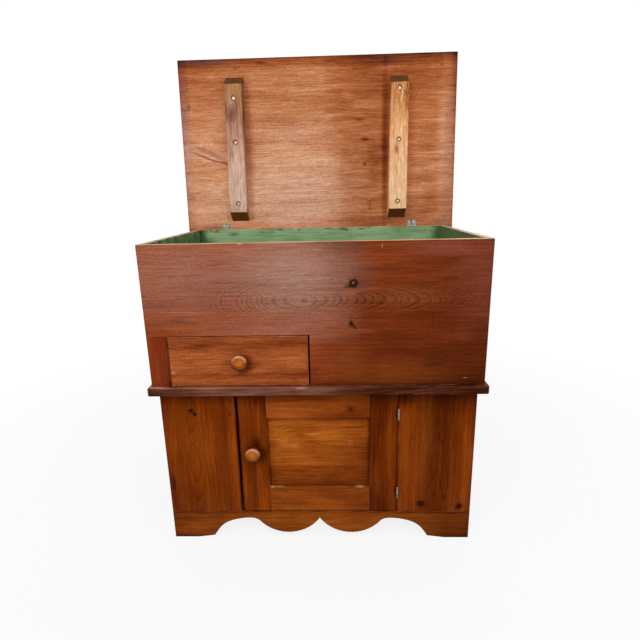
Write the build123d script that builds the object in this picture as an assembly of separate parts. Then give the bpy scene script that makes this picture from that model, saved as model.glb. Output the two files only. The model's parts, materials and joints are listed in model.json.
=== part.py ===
from build123d import *
import os
from math import asin, cos, degrees, radians, sin

# Lift-lid dry sink cabinet. Units are mm, +Z is up, the front faces -Y and +X is to the viewer's right.
# The origin is at floor level, under the middle of the cabinet as it stands with its lid open.

# Stock
board = 19.0                 # planed pine of the bin, the base, the door and the lid
thin_board = 12.0            # drawer box, drawer pocket and the back of the base
seat_gap = 0.3               # air between a moving piece and what it closes on
eased_edge = 1.2             # arris taken off the edges that hands meet

# Bin
bin_width = 914.0
bin_depth = 552.0
bin_height = 392.0
back_rabbet = 9.5            # how far a back board is let into the side boards
drawer_stile_width = 55.5    # short upright board left of the drawer
drawer_opening_width = 386.5
drawer_opening_height = 145.5

# Waist board between the bin and the base
waist_thickness = 25.0
waist_side_overhang = 10.0
waist_front_overhang = 11.0
waist_round = 3.5

# Base
base_height = 475.0
base_inset = 13.0            # base face behind the bin face, at the front and at both sides
stile_left_width = 210.0
stile_right_width = 214.5
apron_height = 90.0
floor_thickness = 19.0
cleat_height = 17.0
back_lift = 48.0             # height of the back boards' lower end above the floor
back_tongue = 6.0
foot_block_leg = 46.0

# Scalloped lower edge of the apron, each size from the middle or from the floor
scallop_cusp_height = 67.0
scallop_lobe_x = 95.0
scallop_lobe_height = 16.5
scallop_turn_x = 181.0
scallop_turn_height = 56.5
scallop_crest_x = 218.0
scallop_crest_height = 66.5
scallop_shoulder_x = 281.0
scallop_shoulder_height = 51.0
foot_inner_x = 322.0
foot_toe_height = 5.5
foot_toe_length = 42.0

# Arch in the lower edge of each base side
side_foot_length = 96.0
side_arch_height = 44.0

# Door
door_gap_knob_side = 8.5
door_gap_hinge_side = 1.2
door_gap_top = 1.5
door_gap_bottom = 1.5
door_stile_width = 81.0
door_top_rail = 80.0
door_bottom_rail = 81.5
door_panel_recess = 9.0
door_panel_thickness = 7.0
door_groove_depth = 8.0
door_tenon_length = 40.0
door_tenon_thickness = 6.0
door_tenon_shoulder = 12.0
door_stop_height = 14.0
door_stop_width = 300.0

# Drawer
drawer_gap_left = 1.5
drawer_gap_right = 5.0
drawer_gap_top = 2.5
drawer_gap_bottom = 1.0
drawer_length = 514.0
drawer_side_height = 137.0
drawer_back_height = 112.0
drawer_bottom_thickness = 6.0
drawer_bottom_lift = 9.0
drawer_groove_depth = 5.0
drawer_guide_height = 24.0

# Turned knobs
knob_head_radius = 22.5
knob_face_radius = 15.5
knob_neck_radius = 9.0
knob_foot_radius = 12.0
knob_foot_height = 3.0
knob_reach = 34.0
knob_crown = 1.2
knob_shoulder = 6.0          # height of the rounded shoulder between rim and face
knob_rim = 2.5
knob_flare = 5.5
drawer_knob_offset_x = 7.0
drawer_knob_offset_z = 5.0
door_knob_height = 202.0     # above the door's lower edge
knob_screw_radius = 2.2
knob_screw_bite = 18.0

# Turn latch behind the door, carried by the door knob's spindle
spindle_radius = 6.0
spindle_fit = 0.05
latch_length = 62.0
latch_tail = 14.0
latch_width = 24.0
latch_thickness = 10.0
latch_clearance = 0.6
latch_peg_radius = 1.5

# Lid
lid_thickness = 19.0
lid_side_overhang = 31.0
lid_front_overhang = 31.0
lid_rear_overhang = 30.0
lid_rear_board_width = 313.0
lid_round = 2.5
batten_width = 62.5
batten_thickness = 38.0
batten_bevel = 29.5          # how much shorter the free face is than the glued face, at each end
batten_left_x = -289.3
batten_left_near = 29.0      # distance from the hinge pin to the batten's near end
batten_left_length = 494.0
batten_left_lean = 0.25        # degrees that the batten stands out of square
batten_left_screws = (90.0, 301.0, 446.0)
batten_right_x = 284.3
batten_right_near = 30.5
batten_right_length = 483.0
batten_right_lean = 0.6
batten_right_screws = (87.5, 297.0, 464.5)
batten_screw_radius = 2.5
batten_screw_bite = 13.0
batten_screw_head_radius = 6.0
batten_screw_head_height = 2.4
batten_counterbore_radius = 8.5
batten_counterbore_depth = 5.0

# Butt hinges of one pattern, with broad leaves for the lid and narrow ones for the door
hinge_length = 32.0
lid_hinge_leaf_reach = 20.5   # from the pin's axis to the leaf's free edge
door_hinge_leaf_reach = 16.0
hinge_leaf_thickness = 1.3
hinge_barrel_radius = 3.0
hinge_pin_radius = 1.4
hinge_pin_fit = 0.05
hinge_knuckle_gap = 0.3
hinge_tip_height = 1.8
hinge_mortise_gap = 0.1
hinge_screw_head_radius = 3.1
hinge_screw_radius = 1.5
hinge_screw_shift = 0.4        # how far the screws sit past the middle of the leaf's flat
hinge_screw_length = 12.0
hinge_screw_sink = 0.1
screw_slot_width = 0.9
screw_slot_depth = 0.8
lid_pin_out = 1.8            # pin's axis behind the back board
lid_hinge_left_x = -346.0
lid_hinge_right_x = 339.5
door_pin_out = 2.0           # pin's axis in front of the door
door_hinge_low_rise = 64.5      # lower hinge's middle above the door's lower edge
door_hinge_high_drop = 67.5     # upper hinge's middle below the door's upper edge

# Levels and planes that follow from the sizes above
waist_low = base_height
waist_top = waist_low + waist_thickness
bin_top = waist_top + bin_height
bin_half = bin_width / 2
base_half = bin_half - base_inset
pin_to_underside = seat_gap / 2
rear_reach = lid_rear_overhang - lid_pin_out
lid_tilt = degrees(asin((lid_pin_out + pin_to_underside - seat_gap) / rear_reach))
lid_open_angle = 90 + lid_tilt
front_reach = bin_depth + lid_pin_out + lid_front_overhang

# The open lid leans out behind and the knobs stand out in front: the origin is midway between them
lean = front_reach * sin(radians(lid_tilt)) + (pin_to_underside + lid_thickness) * cos(radians(lid_tilt))
back = bin_depth / 2 - (lid_pin_out + lean - knob_reach) / 2
front = back - bin_depth
base_front = front + base_inset
pin_y = back + lid_pin_out
pin_z = bin_top + seat_gap - pin_to_underside

drawer_opening_left = -bin_half + drawer_stile_width
drawer_opening_right = drawer_opening_left + drawer_opening_width
drawer_opening_top = waist_top + drawer_opening_height
door_opening_left = -base_half + stile_left_width
door_opening_right = base_half - stile_right_width
door_low = apron_height + door_gap_bottom
door_high = base_height - door_gap_top


def block(x0, x1, y0, y1, z0, z1):
    size = Box(x1 - x0, y1 - y0, z1 - z0)
    return Pos((x0 + x1) / 2, (y0 + y1) / 2, (z0 + z1) / 2) * size


def rod(x, y, z, direction, radius, length):
    plane = Plane(origin=(x, y, z), z_dir=direction)
    return extrude(plane * Circle(radius), length)


def ease(shape, where, size=eased_edge):
    chosen = [edge for edge in shape.edges() if where(edge.center())]
    return chamfer(chosen, size)


def soften(shape, where, radius):
    chosen = [edge for edge in shape.edges() if where(edge.center())]
    return fillet(chosen, radius)


def near(a, b):
    return abs(a - b) < 0.01


def closed_face(lines):
    return make_face([edge for line in lines for edge in line.edges()])


# ---------------------------------------------------------------- butt hinge
# A hinge is drawn folded shut in its own frame: the pin runs up +Z, both leaves reach along +Y, and the
# frame leaf lies on the +X side of the pin, the moving leaf on the -X side.

knuckle_length = (hinge_length - 2 * hinge_knuckle_gap) / 3
knuckle_starts = [n * (knuckle_length + hinge_knuckle_gap) for n in range(3)]
hinge_screw_heights = (hinge_length * 0.25, hinge_length * 0.75)


def hinge_screw_y(reach):
    return (hinge_barrel_radius + reach) / 2 + hinge_screw_shift


def hinge_screw(side, half_gap, reach, z):
    face = side * (half_gap + hinge_screw_sink)
    cone_height = hinge_screw_head_radius - hinge_screw_radius
    plane = Plane(origin=(face, hinge_screw_y(reach), z), z_dir=(side, 0, 0))
    head = loft([plane * Circle(hinge_screw_head_radius),
                 plane.offset(cone_height) * Circle(hinge_screw_radius)])
    shank = extrude(plane.offset(cone_height) * Circle(hinge_screw_radius), hinge_screw_length)
    slot = extrude(plane * Rectangle(screw_slot_width, 3 * hinge_screw_head_radius), screw_slot_depth)
    return (head + shank, slot)


def hinge_leaf(side, half_gap, reach, rows):
    inner = side * half_gap
    outer = side * (half_gap + hinge_leaf_thickness)
    x0 = min(inner, outer)
    x1 = max(inner, outer)
    clear = hinge_barrel_radius + hinge_knuckle_gap
    leaf = block(x0, x1, clear, reach, 0, hinge_length)
    for row in rows:
        low = knuckle_starts[row]
        leaf += block(x0, x1, 0, clear, low, low + knuckle_length)
        leaf += rod(0, 0, low, (0, 0, 1), hinge_barrel_radius, knuckle_length)
    leaf -= rod(0, 0, -1, (0, 0, 1), hinge_pin_radius + hinge_pin_fit, hinge_length + 2)
    for z in hinge_screw_heights:
        screw, _ = hinge_screw(side, half_gap, reach, z)
        leaf -= screw
        leaf -= rod(inner, hinge_screw_y(reach), z, (side, 0, 0), hinge_screw_head_radius, hinge_screw_sink)
    return leaf


def hinge_screws(side, half_gap, reach):
    screws = []
    for z in hinge_screw_heights:
        screw, slot = hinge_screw(side, half_gap, reach, z)
        screws.append(screw - slot)
    return screws


def hinge_pin():
    pin = rod(0, 0, 0, (0, 0, 1), hinge_pin_radius, hinge_length)
    for end in (0, 1):
        base = hinge_length * end
        out = 2 * end - 1
        tip = rod(0, 0, base, (0, 0, out), hinge_barrel_radius - 0.3, hinge_tip_height)
        rim = tip.edges().sort_by(lambda edge: out * edge.center().Z)[-1]
        pin += chamfer(rim, hinge_tip_height * 0.5)
    return pin


def hinge_room(side, half_gap, reach, mortise_end):
    """What a board on one side of the pin gives up: the leaf's mortise, its screws and the barrel's relief."""
    inner = side * (half_gap - 1)
    outer = side * (half_gap + hinge_leaf_thickness)
    room = block(min(inner, outer), max(inner, outer), -reach, mortise_end,
                 -hinge_mortise_gap, hinge_length + hinge_mortise_gap)
    tip = hinge_tip_height + seat_gap
    room += rod(0, 0, -tip, (0, 0, 1), hinge_barrel_radius + seat_gap, hinge_length + 2 * tip)
    for z in hinge_screw_heights:
        screw, _ = hinge_screw(side, half_gap, reach, z)
        room += screw
    return room


lid_half_gap = pin_to_underside
door_half_gap = door_gap_hinge_side / 2
door_pin_x = door_opening_right - door_half_gap
door_pin_y = base_front - door_pin_out


def lid_hinge_place(x):
    """Folded hinge laid along X at the back: its frame leaf lies on the back board, its moving leaf above."""
    plane = Plane(origin=(x + hinge_length / 2, pin_y, pin_z), x_dir=(0, 0, -1), z_dir=(-1, 0, 0))
    return plane.location


def door_hinge_place(z):
    return Location((door_pin_x, door_pin_y, z - hinge_length / 2))


lid_swing = Pos(0, pin_y, pin_z) * Rot(-lid_open_angle, 0, 0) * Pos(0, -pin_y, -pin_z)
lid_hinge_places = {"left": lid_hinge_place(lid_hinge_left_x), "right": lid_hinge_place(lid_hinge_right_x)}
door_hinge_places = {"upper": door_hinge_place(door_high - door_hinge_high_drop),
                     "lower": door_hinge_place(door_low + door_hinge_low_rise)}


def door_hinge_room(side):
    return hinge_room(side, door_half_gap, door_hinge_leaf_reach, door_hinge_leaf_reach + hinge_mortise_gap)


def lid_hinges():
    nodes = {}
    for name, place in lid_hinge_places.items():
        nodes[f"lid_hinge_{name}_back_leaf"] = place * hinge_leaf(1, lid_half_gap, lid_hinge_leaf_reach, (0, 2))
        lid_leaf = hinge_leaf(-1, lid_half_gap, lid_hinge_leaf_reach, (1,))
        nodes[f"lid_hinge_{name}_lid_leaf"] = lid_swing * (place * lid_leaf)
    nodes["lid_hinge_pins"] = [place * hinge_pin() for place in lid_hinge_places.values()]
    nodes["lid_hinge_back_screws"] = [place * screw for place in lid_hinge_places.values()
                                      for screw in hinge_screws(1, lid_half_gap, lid_hinge_leaf_reach)]
    nodes["lid_hinge_lid_screws"] = [lid_swing * (place * screw) for place in lid_hinge_places.values()
                                     for screw in hinge_screws(-1, lid_half_gap, lid_hinge_leaf_reach)]
    return nodes


def door_hinges():
    nodes = {}
    for name, place in door_hinge_places.items():
        nodes[f"door_hinge_{name}_frame_leaf"] = place * hinge_leaf(1, door_half_gap, door_hinge_leaf_reach, (0, 2))
        nodes[f"door_hinge_{name}_door_leaf"] = place * hinge_leaf(-1, door_half_gap, door_hinge_leaf_reach, (1,))
    nodes["door_hinge_pins"] = [place * hinge_pin() for place in door_hinge_places.values()]
    nodes["door_hinge_frame_screws"] = [place * screw for place in door_hinge_places.values()
                                        for screw in hinge_screws(1, door_half_gap, door_hinge_leaf_reach)]
    nodes["door_hinge_door_screws"] = [place * screw for place in door_hinge_places.values()
                                       for screw in hinge_screws(-1, door_half_gap, door_hinge_leaf_reach)]
    return nodes


# ---------------------------------------------------------------- bin
side_inner = bin_half - board
bin_inner_front = front + board
bin_inner_back = back - board
pocket_side_left = drawer_opening_right
pocket_side_right = pocket_side_left + thin_board
pocket_top_low = drawer_opening_top + 2 * eased_edge
pocket_top_high = pocket_top_low + thin_board
pocket_dado = 5.0
drawer_back_y = front + drawer_length


def bin_front_board():
    face = block(-bin_half, bin_half, front, bin_inner_front, waist_top, bin_top)
    face -= block(-bin_half, drawer_opening_right, front, bin_inner_front, waist_top, drawer_opening_top)
    return ease(face, lambda c: near(c.Y, front) and (near(c.Z, bin_top) or near(abs(c.X), bin_half))
                or near(c.Y, bin_inner_front) and near(c.Z, bin_top))


def drawer_side_stile():
    stile = block(-bin_half, drawer_opening_left, front, bin_inner_front, waist_top, drawer_opening_top)
    return ease(stile, lambda c: near(c.Y, front) and near(c.X, -bin_half))


def bin_side(sign):
    side = block(side_inner, bin_half, bin_inner_front, back, waist_top, bin_top)
    side -= block(side_inner, side_inner + board - back_rabbet, bin_inner_back, back, waist_top, bin_top)
    side = ease(side, lambda c: near(c.Z, bin_top) and (near(c.X, bin_half) or near(c.X, side_inner)))
    if sign > 0:
        return side
    side = mirror(side, about=Plane.YZ)
    side -= block(-side_inner - pocket_dado, -side_inner, bin_inner_front, bin_inner_back,
                  pocket_top_low, pocket_top_high)
    return side


def bin_back_board():
    reach = bin_half - back_rabbet
    panel = block(-reach, reach, bin_inner_back, back, waist_top, bin_top)
    panel = ease(panel, lambda c: near(c.Z, bin_top) and near(c.X, 0))
    # the leaves' mortises run out through the inner face
    for place in lid_hinge_places.values():
        panel -= place * hinge_room(1, lid_half_gap, lid_hinge_leaf_reach, pin_y - bin_inner_back + 1)
    return panel


def drawer_pocket_top():
    return block(-side_inner - pocket_dado, pocket_side_right, bin_inner_front, bin_inner_back,
                 pocket_top_low, pocket_top_high)


def drawer_pocket_side():
    return block(pocket_side_left, pocket_side_right, bin_inner_front, bin_inner_back, waist_top, pocket_top_low)


def drawer_guide():
    guide = block(-side_inner, drawer_opening_left, bin_inner_front, bin_inner_back,
                  waist_top, waist_top + drawer_guide_height)
    return ease(guide, lambda c: near(c.Z, waist_top + drawer_guide_height) and near(c.X, drawer_opening_left))


def drawer_stop():
    middle = (drawer_opening_left + drawer_opening_right) / 2
    half = drawer_opening_width / 8
    return block(middle - half, middle + half, drawer_back_y + seat_gap, bin_inner_back,
                 waist_top, waist_top + drawer_guide_height)


def waist_board():
    half = bin_half + waist_side_overhang
    nose = front - waist_front_overhang
    top = block(-half, half, nose, back, waist_low, waist_top)
    top = soften(top, lambda c: (near(c.Y, nose) or near(abs(c.X), half)) and not near(c.Y, back), waist_round)
    return top


def bin_nodes():
    return {
        "bin_front_board": bin_front_board(),
        "drawer_side_stile": drawer_side_stile(),
        "bin_side_left": bin_side(-1),
        "bin_side_right": bin_side(1),
        "bin_back_board": bin_back_board(),
        "drawer_pocket_top": drawer_pocket_top(),
        "drawer_pocket_side": drawer_pocket_side(),
        "drawer_guide": drawer_guide(),
        "drawer_stop": drawer_stop(),
        "waist_board": waist_board(),
    }


# ---------------------------------------------------------------- base
base_inner = base_half - board
base_inner_front = base_front + board
base_inner_back = back - thin_board
floor_top = apron_height
floor_low = floor_top - floor_thickness
cleat_low = floor_low - cleat_height


def scallop_half(side):
    """Lower edge of half the apron, from the cusp in the middle out to the toe of the foot."""
    cusp = (0, scallop_cusp_height)
    lobe = (side * scallop_lobe_x, scallop_lobe_height)
    turn = (side * scallop_turn_x, scallop_turn_height)
    crest = (side * scallop_crest_x, scallop_crest_height)
    shoulder = (side * scallop_shoulder_x, scallop_shoulder_height)
    toe = (side * foot_inner_x, foot_toe_height)
    arc = ThreePointArc(cusp, lobe, turn)
    crown = Spline(turn, crest, shoulder, toe, tangents=(arc % 1, (side * 0.62, -1)))
    heel = Line(toe, (side * (foot_inner_x + foot_toe_length), 0))
    return [arc, crown, heel]


def apron():
    left = scallop_half(-1)
    right = scallop_half(1)
    rim = Polyline(left[2] @ 1, (-base_half, 0), (-base_half, apron_height), (base_half, apron_height),
                   (base_half, 0), right[2] @ 1)
    outline = Plane.XZ.offset(-base_inner_front) * closed_face(left + right + [rim])
    piece = extrude(outline, board)
    for side in (-1, 1):
        piece = ease(piece, lambda c: near(c.Y, base_front) and 0 < side * c.X < base_half - 1
                     and 0.01 < c.Z < apron_height - 1)
    return ease(piece, lambda c: near(c.Y, base_front) and near(abs(c.X), base_half))


def base_stile(side):
    if side < 0:
        stile = block(-base_half, door_opening_left, base_front, base_inner_front, apron_height, base_height)
        return ease(stile, lambda c: near(c.Y, base_front) and (near(c.X, -base_half) or near(c.X, door_opening_left)))
    stile = block(door_opening_right, base_half, base_front, base_inner_front, apron_height, base_height)
    stile = ease(stile, lambda c: near(c.Y, base_front) and near(c.X, base_half))
    for place in door_hinge_places.values():
        stile -= place * door_hinge_room(1)
    return stile


def base_side(side):
    piece = block(base_inner, base_half, base_inner_front, back, 0, base_height)
    piece -= block(base_inner, base_inner + board - back_rabbet, base_inner_back, back, back_lift, base_height)
    length = back - base_front - 2 * side_foot_length
    middle = (base_front + back) / 2
    arch = Plane.YZ.offset(base_inner - 1) * Pos(middle, 0) * RectangleRounded(
        length, 2 * side_arch_height, side_arch_height * 0.98)
    piece -= extrude(arch, board + 2)
    if side > 0:
        return piece
    return mirror(piece, about=Plane.YZ)


def base_back_boards():
    reach = base_half - back_rabbet
    width = 2 * reach / 3
    half = thin_board / 2
    third = thin_board / 3
    nodes = {}
    for n, name in enumerate(("left", "middle", "right")):
        x0 = -reach + n * width
        x1 = x0 + width
        piece = block(x0, x1, base_inner_back, back, back_lift, base_height)
        if n < 2:
            piece += block(x1, x1 + back_tongue, base_inner_back + half - third / 2,
                           base_inner_back + half + third / 2, back_lift, base_height)
        if n > 0:
            piece -= block(x0, x0 + back_tongue, base_inner_back + half - third / 2,
                           base_inner_back + half + third / 2, back_lift, base_height)
            piece = ease(piece, lambda c: near(c.Y, back) and near(c.X, x0))
        nodes[f"base_back_board_{name}"] = piece
    return nodes


def foot_block(side):
    corner = (side * base_inner, base_inner_front)
    outline = Polyline(corner, (side * (base_inner - foot_block_leg), base_inner_front),
                       (side * base_inner, base_inner_front + foot_block_leg), corner)
    return extrude(Pos(0, 0, 2) * closed_face([outline]), cleat_low - 2)


def floor_cleat(side):
    inner = side * (base_inner - board)
    outer = side * base_inner
    return block(min(inner, outer), max(inner, outer), base_inner_front, base_inner_back, cleat_low, floor_low)


def door_stop():
    middle = (door_opening_left + door_opening_right) / 2
    low = base_height - door_stop_height
    y0 = base_inner_front + seat_gap
    return block(middle - door_stop_width / 2, middle + door_stop_width / 2, y0, y0 + board, low, base_height)


def base_nodes():
    nodes = {
        "apron": apron(),
        "base_stile_left": base_stile(-1),
        "base_stile_right": base_stile(1),
        "base_side_left": base_side(-1),
        "base_side_right": base_side(1),
        "cupboard_floor": block(-base_inner, base_inner, base_inner_front, base_inner_back, floor_low, floor_top),
        "floor_cleats": [floor_cleat(side) for side in (-1, 1)],
        "foot_blocks": [foot_block(side) for side in (-1, 1)],
        "door_stop": door_stop(),
    }
    nodes.update(base_back_boards())
    return nodes


# ---------------------------------------------------------------- turned knob
def knob_blank():
    """Knob standing on the XY plane with its face towards +Z."""
    head_back = knob_reach - knob_crown - knob_shoulder - knob_rim
    shoulder_low = head_back + knob_rim
    face = knob_reach - knob_crown
    cove_radius = (knob_neck_radius + knob_head_radius) / 2 - knob_foot_height
    cove_top = head_back - knob_flare
    foot = Polyline((0, 0), (knob_foot_radius, 0), (knob_foot_radius, knob_foot_height))
    neck = ThreePointArc((knob_foot_radius, knob_foot_height),
                         (knob_neck_radius, (knob_foot_height + cove_top) / 2), (cove_radius, cove_top))
    underside_middle = ((cove_radius + knob_head_radius) / 2, head_back - knob_flare * 0.3)
    head_underside = ThreePointArc((cove_radius, cove_top), underside_middle, (knob_head_radius, head_back))
    rim = Line((knob_head_radius, head_back), (knob_head_radius, shoulder_low))
    shoulder_drop = (knob_head_radius - knob_face_radius) * 0.36
    shoulder_middle = (knob_head_radius - shoulder_drop, shoulder_low + knob_shoulder * 0.66)
    shoulder = ThreePointArc((knob_head_radius, shoulder_low), shoulder_middle, (knob_face_radius, face))
    crown = TangentArc((0, knob_reach), (knob_face_radius, face), tangent=(1, 0))
    axis = Line((0, knob_reach), (0, 0))
    outline = closed_face([foot, neck, head_underside, rim, shoulder, crown, axis])
    return revolve(Plane.XZ * outline, Axis.Z)


def knob_place(x, y, z):
    return Plane(origin=(x, y, z), x_dir=(1, 0, 0), z_dir=(0, -1, 0)).location


# ---------------------------------------------------------------- drawer
drawer_left = drawer_opening_left + drawer_gap_left
drawer_right = drawer_opening_right - drawer_gap_right
drawer_low = waist_top + drawer_gap_bottom
drawer_high = drawer_opening_top - drawer_gap_top
drawer_lap = board - thin_board + 5.0        # where the sides stop behind the drawer's face
drawer_run_low = waist_top + seat_gap
drawer_knob_x = (drawer_left + drawer_right) / 2 + drawer_knob_offset_x
drawer_knob_z = (drawer_low + drawer_high) / 2 + drawer_knob_offset_z
drawer_bottom_low = drawer_low + drawer_bottom_lift
drawer_bottom_high = drawer_bottom_low + drawer_bottom_thickness


def drawer_knob_screw():
    y_inner = front + board
    shank = rod(drawer_knob_x, y_inner, drawer_knob_z, (0, -1, 0), knob_screw_radius, board + knob_screw_bite)
    head = rod(drawer_knob_x, y_inner, drawer_knob_z, (0, 1, 0), 2 * knob_screw_radius, 2.4)
    head = chamfer(head.edges().sort_by(Axis.Y)[-1], 1.0)
    slot = block(drawer_knob_x - 5, drawer_knob_x + 5, y_inner + 2.4 - screw_slot_depth, y_inner + 3,
                 drawer_knob_z - screw_slot_width / 2, drawer_knob_z + screw_slot_width / 2)
    return shank + head - slot


def drawer_bottom():
    return block(drawer_left + thin_board - drawer_groove_depth, drawer_right - thin_board + drawer_groove_depth,
                 front + board - drawer_groove_depth, drawer_back_y, drawer_bottom_low, drawer_bottom_high)


def drawer_front():
    face = block(drawer_left, drawer_right, front, front + board, drawer_low, drawer_high)
    face = ease(face, lambda c: near(c.Y, front))
    for x0 in (drawer_left, drawer_right - thin_board):
        face -= block(x0, x0 + thin_board, front + drawer_lap, front + board, drawer_low, drawer_high)
    return face - drawer_bottom() - drawer_knob_screw()


def drawer_side(x0):
    side = block(x0, x0 + thin_board, front + drawer_lap, drawer_back_y,
                 drawer_run_low, drawer_run_low + drawer_side_height)
    return side - drawer_bottom()


def drawer_back():
    return block(drawer_left + thin_board, drawer_right - thin_board, drawer_back_y - thin_board, drawer_back_y,
                 drawer_bottom_high, drawer_bottom_high + drawer_back_height)


def drawer_nodes():
    knob = knob_place(drawer_knob_x, front, drawer_knob_z) * knob_blank()
    return {
        "drawer_front": drawer_front(),
        "drawer_side_left": drawer_side(drawer_left),
        "drawer_side_right": drawer_side(drawer_right - thin_board),
        "drawer_back": drawer_back(),
        "drawer_bottom": drawer_bottom(),
        "drawer_knob": knob - drawer_knob_screw(),
        "drawer_knob_screw": drawer_knob_screw(),
    }


# ---------------------------------------------------------------- door
door_left = door_opening_left + door_gap_knob_side
door_right = door_opening_right - door_gap_hinge_side
door_back_y = base_front + board
panel_left = door_left + door_stile_width
panel_right = door_right - door_stile_width
panel_low = door_low + door_bottom_rail
panel_high = door_high - door_top_rail
panel_front = base_front + door_panel_recess
panel_back = panel_front + door_panel_thickness
tenon_front = base_front + (board - door_tenon_thickness) / 2
door_knob_x = door_left + door_stile_width / 2
door_knob_z = door_low + door_knob_height


def door_panel(slack=0.0):
    depth = door_groove_depth + slack
    return block(panel_left - depth, panel_right + depth, panel_front, panel_back,
                 panel_low - depth, panel_high + depth)


def door_rail(low, high):
    rail = block(panel_left, panel_right, base_front, door_back_y, low, high)
    rail = ease(rail, lambda c: near(c.Y, base_front) and near(c.X, (panel_left + panel_right) / 2))
    rail -= door_panel()
    tenon = block(panel_left - door_tenon_length, panel_right + door_tenon_length,
                  tenon_front, tenon_front + door_tenon_thickness,
                  low + door_tenon_shoulder, high - door_tenon_shoulder)
    return rail + (tenon - door_panel())


def door_stile(x0, x1, rails):
    stile = block(x0, x1, base_front, door_back_y, door_low, door_high)
    stile = ease(stile, lambda c: near(c.Y, base_front))
    stile -= door_panel()
    for rail in rails:
        stile -= rail
    return stile


def latch_nodes():
    bar_front = door_back_y + latch_clearance
    bar_back = bar_front + latch_thickness
    spindle = rod(door_knob_x, base_front - seat_gap, door_knob_z, (0, 1, 0), spindle_radius,
                  bar_back - base_front + seat_gap)
    knob = knob_place(door_knob_x, base_front - seat_gap, door_knob_z) * knob_blank() + spindle
    bar = block(door_knob_x - latch_width / 2, door_knob_x + latch_width / 2, bar_front, bar_back,
                door_knob_z - latch_length, door_knob_z + latch_tail)
    bar = fillet(bar.edges().filter_by(Axis.Y), latch_width * 0.3)
    peg = rod(door_knob_x - latch_width / 2, bar_front + latch_thickness / 2, door_knob_z, (1, 0, 0),
              latch_peg_radius, latch_width)
    return {
        "door_knob": knob - peg,
        "door_latch_bar": bar - spindle - peg,
        "door_latch_peg": peg,
    }


def door_nodes():
    top_rail = door_rail(panel_high, door_high)
    bottom_rail = door_rail(door_low, panel_low)
    left = door_stile(door_left, panel_left, (top_rail, bottom_rail))
    left -= rod(door_knob_x, base_front - 1, door_knob_z, (0, 1, 0), spindle_radius + spindle_fit, board + 2)
    right = door_stile(panel_right, door_right, (top_rail, bottom_rail))
    for place in door_hinge_places.values():
        right -= place * door_hinge_room(-1)
    return {
        "door_stile_left": left,
        "door_stile_right": right,
        "door_rail_top": top_rail,
        "door_rail_bottom": bottom_rail,
        "door_panel": door_panel(),
    }


# ---------------------------------------------------------------- lid
# The lid is laid out shut, in the frame of the cabinet, and every piece is then swung open about the pins.

underside = bin_top + seat_gap
lid_half = bin_half + lid_side_overhang
lid_rear_y = back + lid_rear_overhang
lid_front_y = front - lid_front_overhang
lid_joint_y = lid_rear_y - lid_rear_board_width


def batten_screw(x, reach):
    head_low = underside - batten_thickness + batten_counterbore_depth
    y = pin_y - reach
    plane = Plane(origin=(x, y, head_low), z_dir=(0, 0, 1))
    head = extrude(plane * Circle(batten_screw_head_radius), -batten_screw_head_height)
    head = chamfer(head.edges().sort_by(Axis.Z)[0], batten_screw_head_height * 0.4)
    shank = extrude(plane * Circle(batten_screw_radius), underside - head_low + batten_screw_bite)
    slot_low = head_low - batten_screw_head_height
    slot = block(x - batten_screw_head_radius, x + batten_screw_head_radius, y - screw_slot_width / 2,
                 y + screw_slot_width / 2, slot_low, slot_low + screw_slot_depth)
    slot = Pos(x, y, 0) * Rot(0, 0, 7 * reach) * Pos(-x, -y, 0) * slot
    return head + shank - slot


def batten(x, near_end, length, screws):
    y0 = pin_y - near_end
    y1 = y0 - length
    low = underside - batten_thickness
    outline = Polyline((y0, underside), (y1, underside), (y1 + batten_bevel, low), (y0 - batten_bevel, low),
                       (y0, underside))
    plane = Plane(origin=(x - batten_width / 2, 0, 0), x_dir=(0, 1, 0), z_dir=(1, 0, 0))
    bar = extrude(plane * closed_face([outline]), batten_width)
    bar = ease(bar, lambda c: c.Z < underside - 0.01)
    for reach in screws:
        bar -= rod(x, pin_y - reach, low, (0, 0, 1), batten_counterbore_radius, batten_counterbore_depth)
        bar -= rod(x, pin_y - reach, low, (0, 0, 1), batten_screw_radius, batten_thickness)
    return bar


def batten_set(x, near_end, length, screws, lean):
    """A batten and its screws, turned together about the batten's middle."""
    middle = pin_y - near_end - length / 2
    turn = Pos(x, middle, 0) * Rot(0, 0, lean) * Pos(-x, -middle, 0)
    return turn * batten(x, near_end, length, screws), [turn * batten_screw(x, reach) for reach in screws]


def lid_board(y0, y1, outer):
    piece = block(-lid_half, lid_half, y0, y1, underside, underside + lid_thickness)
    piece = soften(piece, lambda c: near(abs(c.X), lid_half) and not near(c.Z, underside + lid_thickness / 2)
                   or near(c.Y, outer), lid_round)
    for place in lid_hinge_places.values():
        piece -= place * hinge_room(-1, lid_half_gap, lid_hinge_leaf_reach, lid_hinge_leaf_reach + hinge_mortise_gap)
    return piece


def lid_nodes():
    left, left_screws = batten_set(batten_left_x, batten_left_near, batten_left_length, batten_left_screws,
                                   batten_left_lean)
    right, right_screws = batten_set(batten_right_x, batten_right_near, batten_right_length, batten_right_screws,
                                     batten_right_lean)
    rear = lid_board(lid_joint_y, lid_rear_y, lid_rear_y)
    front_piece = lid_board(lid_front_y, lid_joint_y, lid_front_y)
    for screw in left_screws + right_screws:
        rear -= screw
        front_piece -= screw
    shut = {
        "lid_board_rear": rear,
        "lid_board_front": front_piece,
        "lid_batten_left": left,
        "lid_batten_right": right,
    }
    nodes = {name: lid_swing * piece for name, piece in shut.items()}
    nodes["lid_batten_screws"] = [lid_swing * screw for screw in left_screws + right_screws]
    return nodes


def all_nodes():
    nodes = {}
    for make in (bin_nodes, base_nodes, drawer_nodes, door_nodes, latch_nodes, lid_nodes, lid_hinges, door_hinges):
        nodes.update(make())
    return nodes


def solids_of(shape):
    pieces = shape if isinstance(shape, list) else [shape]
    return [solid for piece in pieces for solid in piece.solids()]


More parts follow.
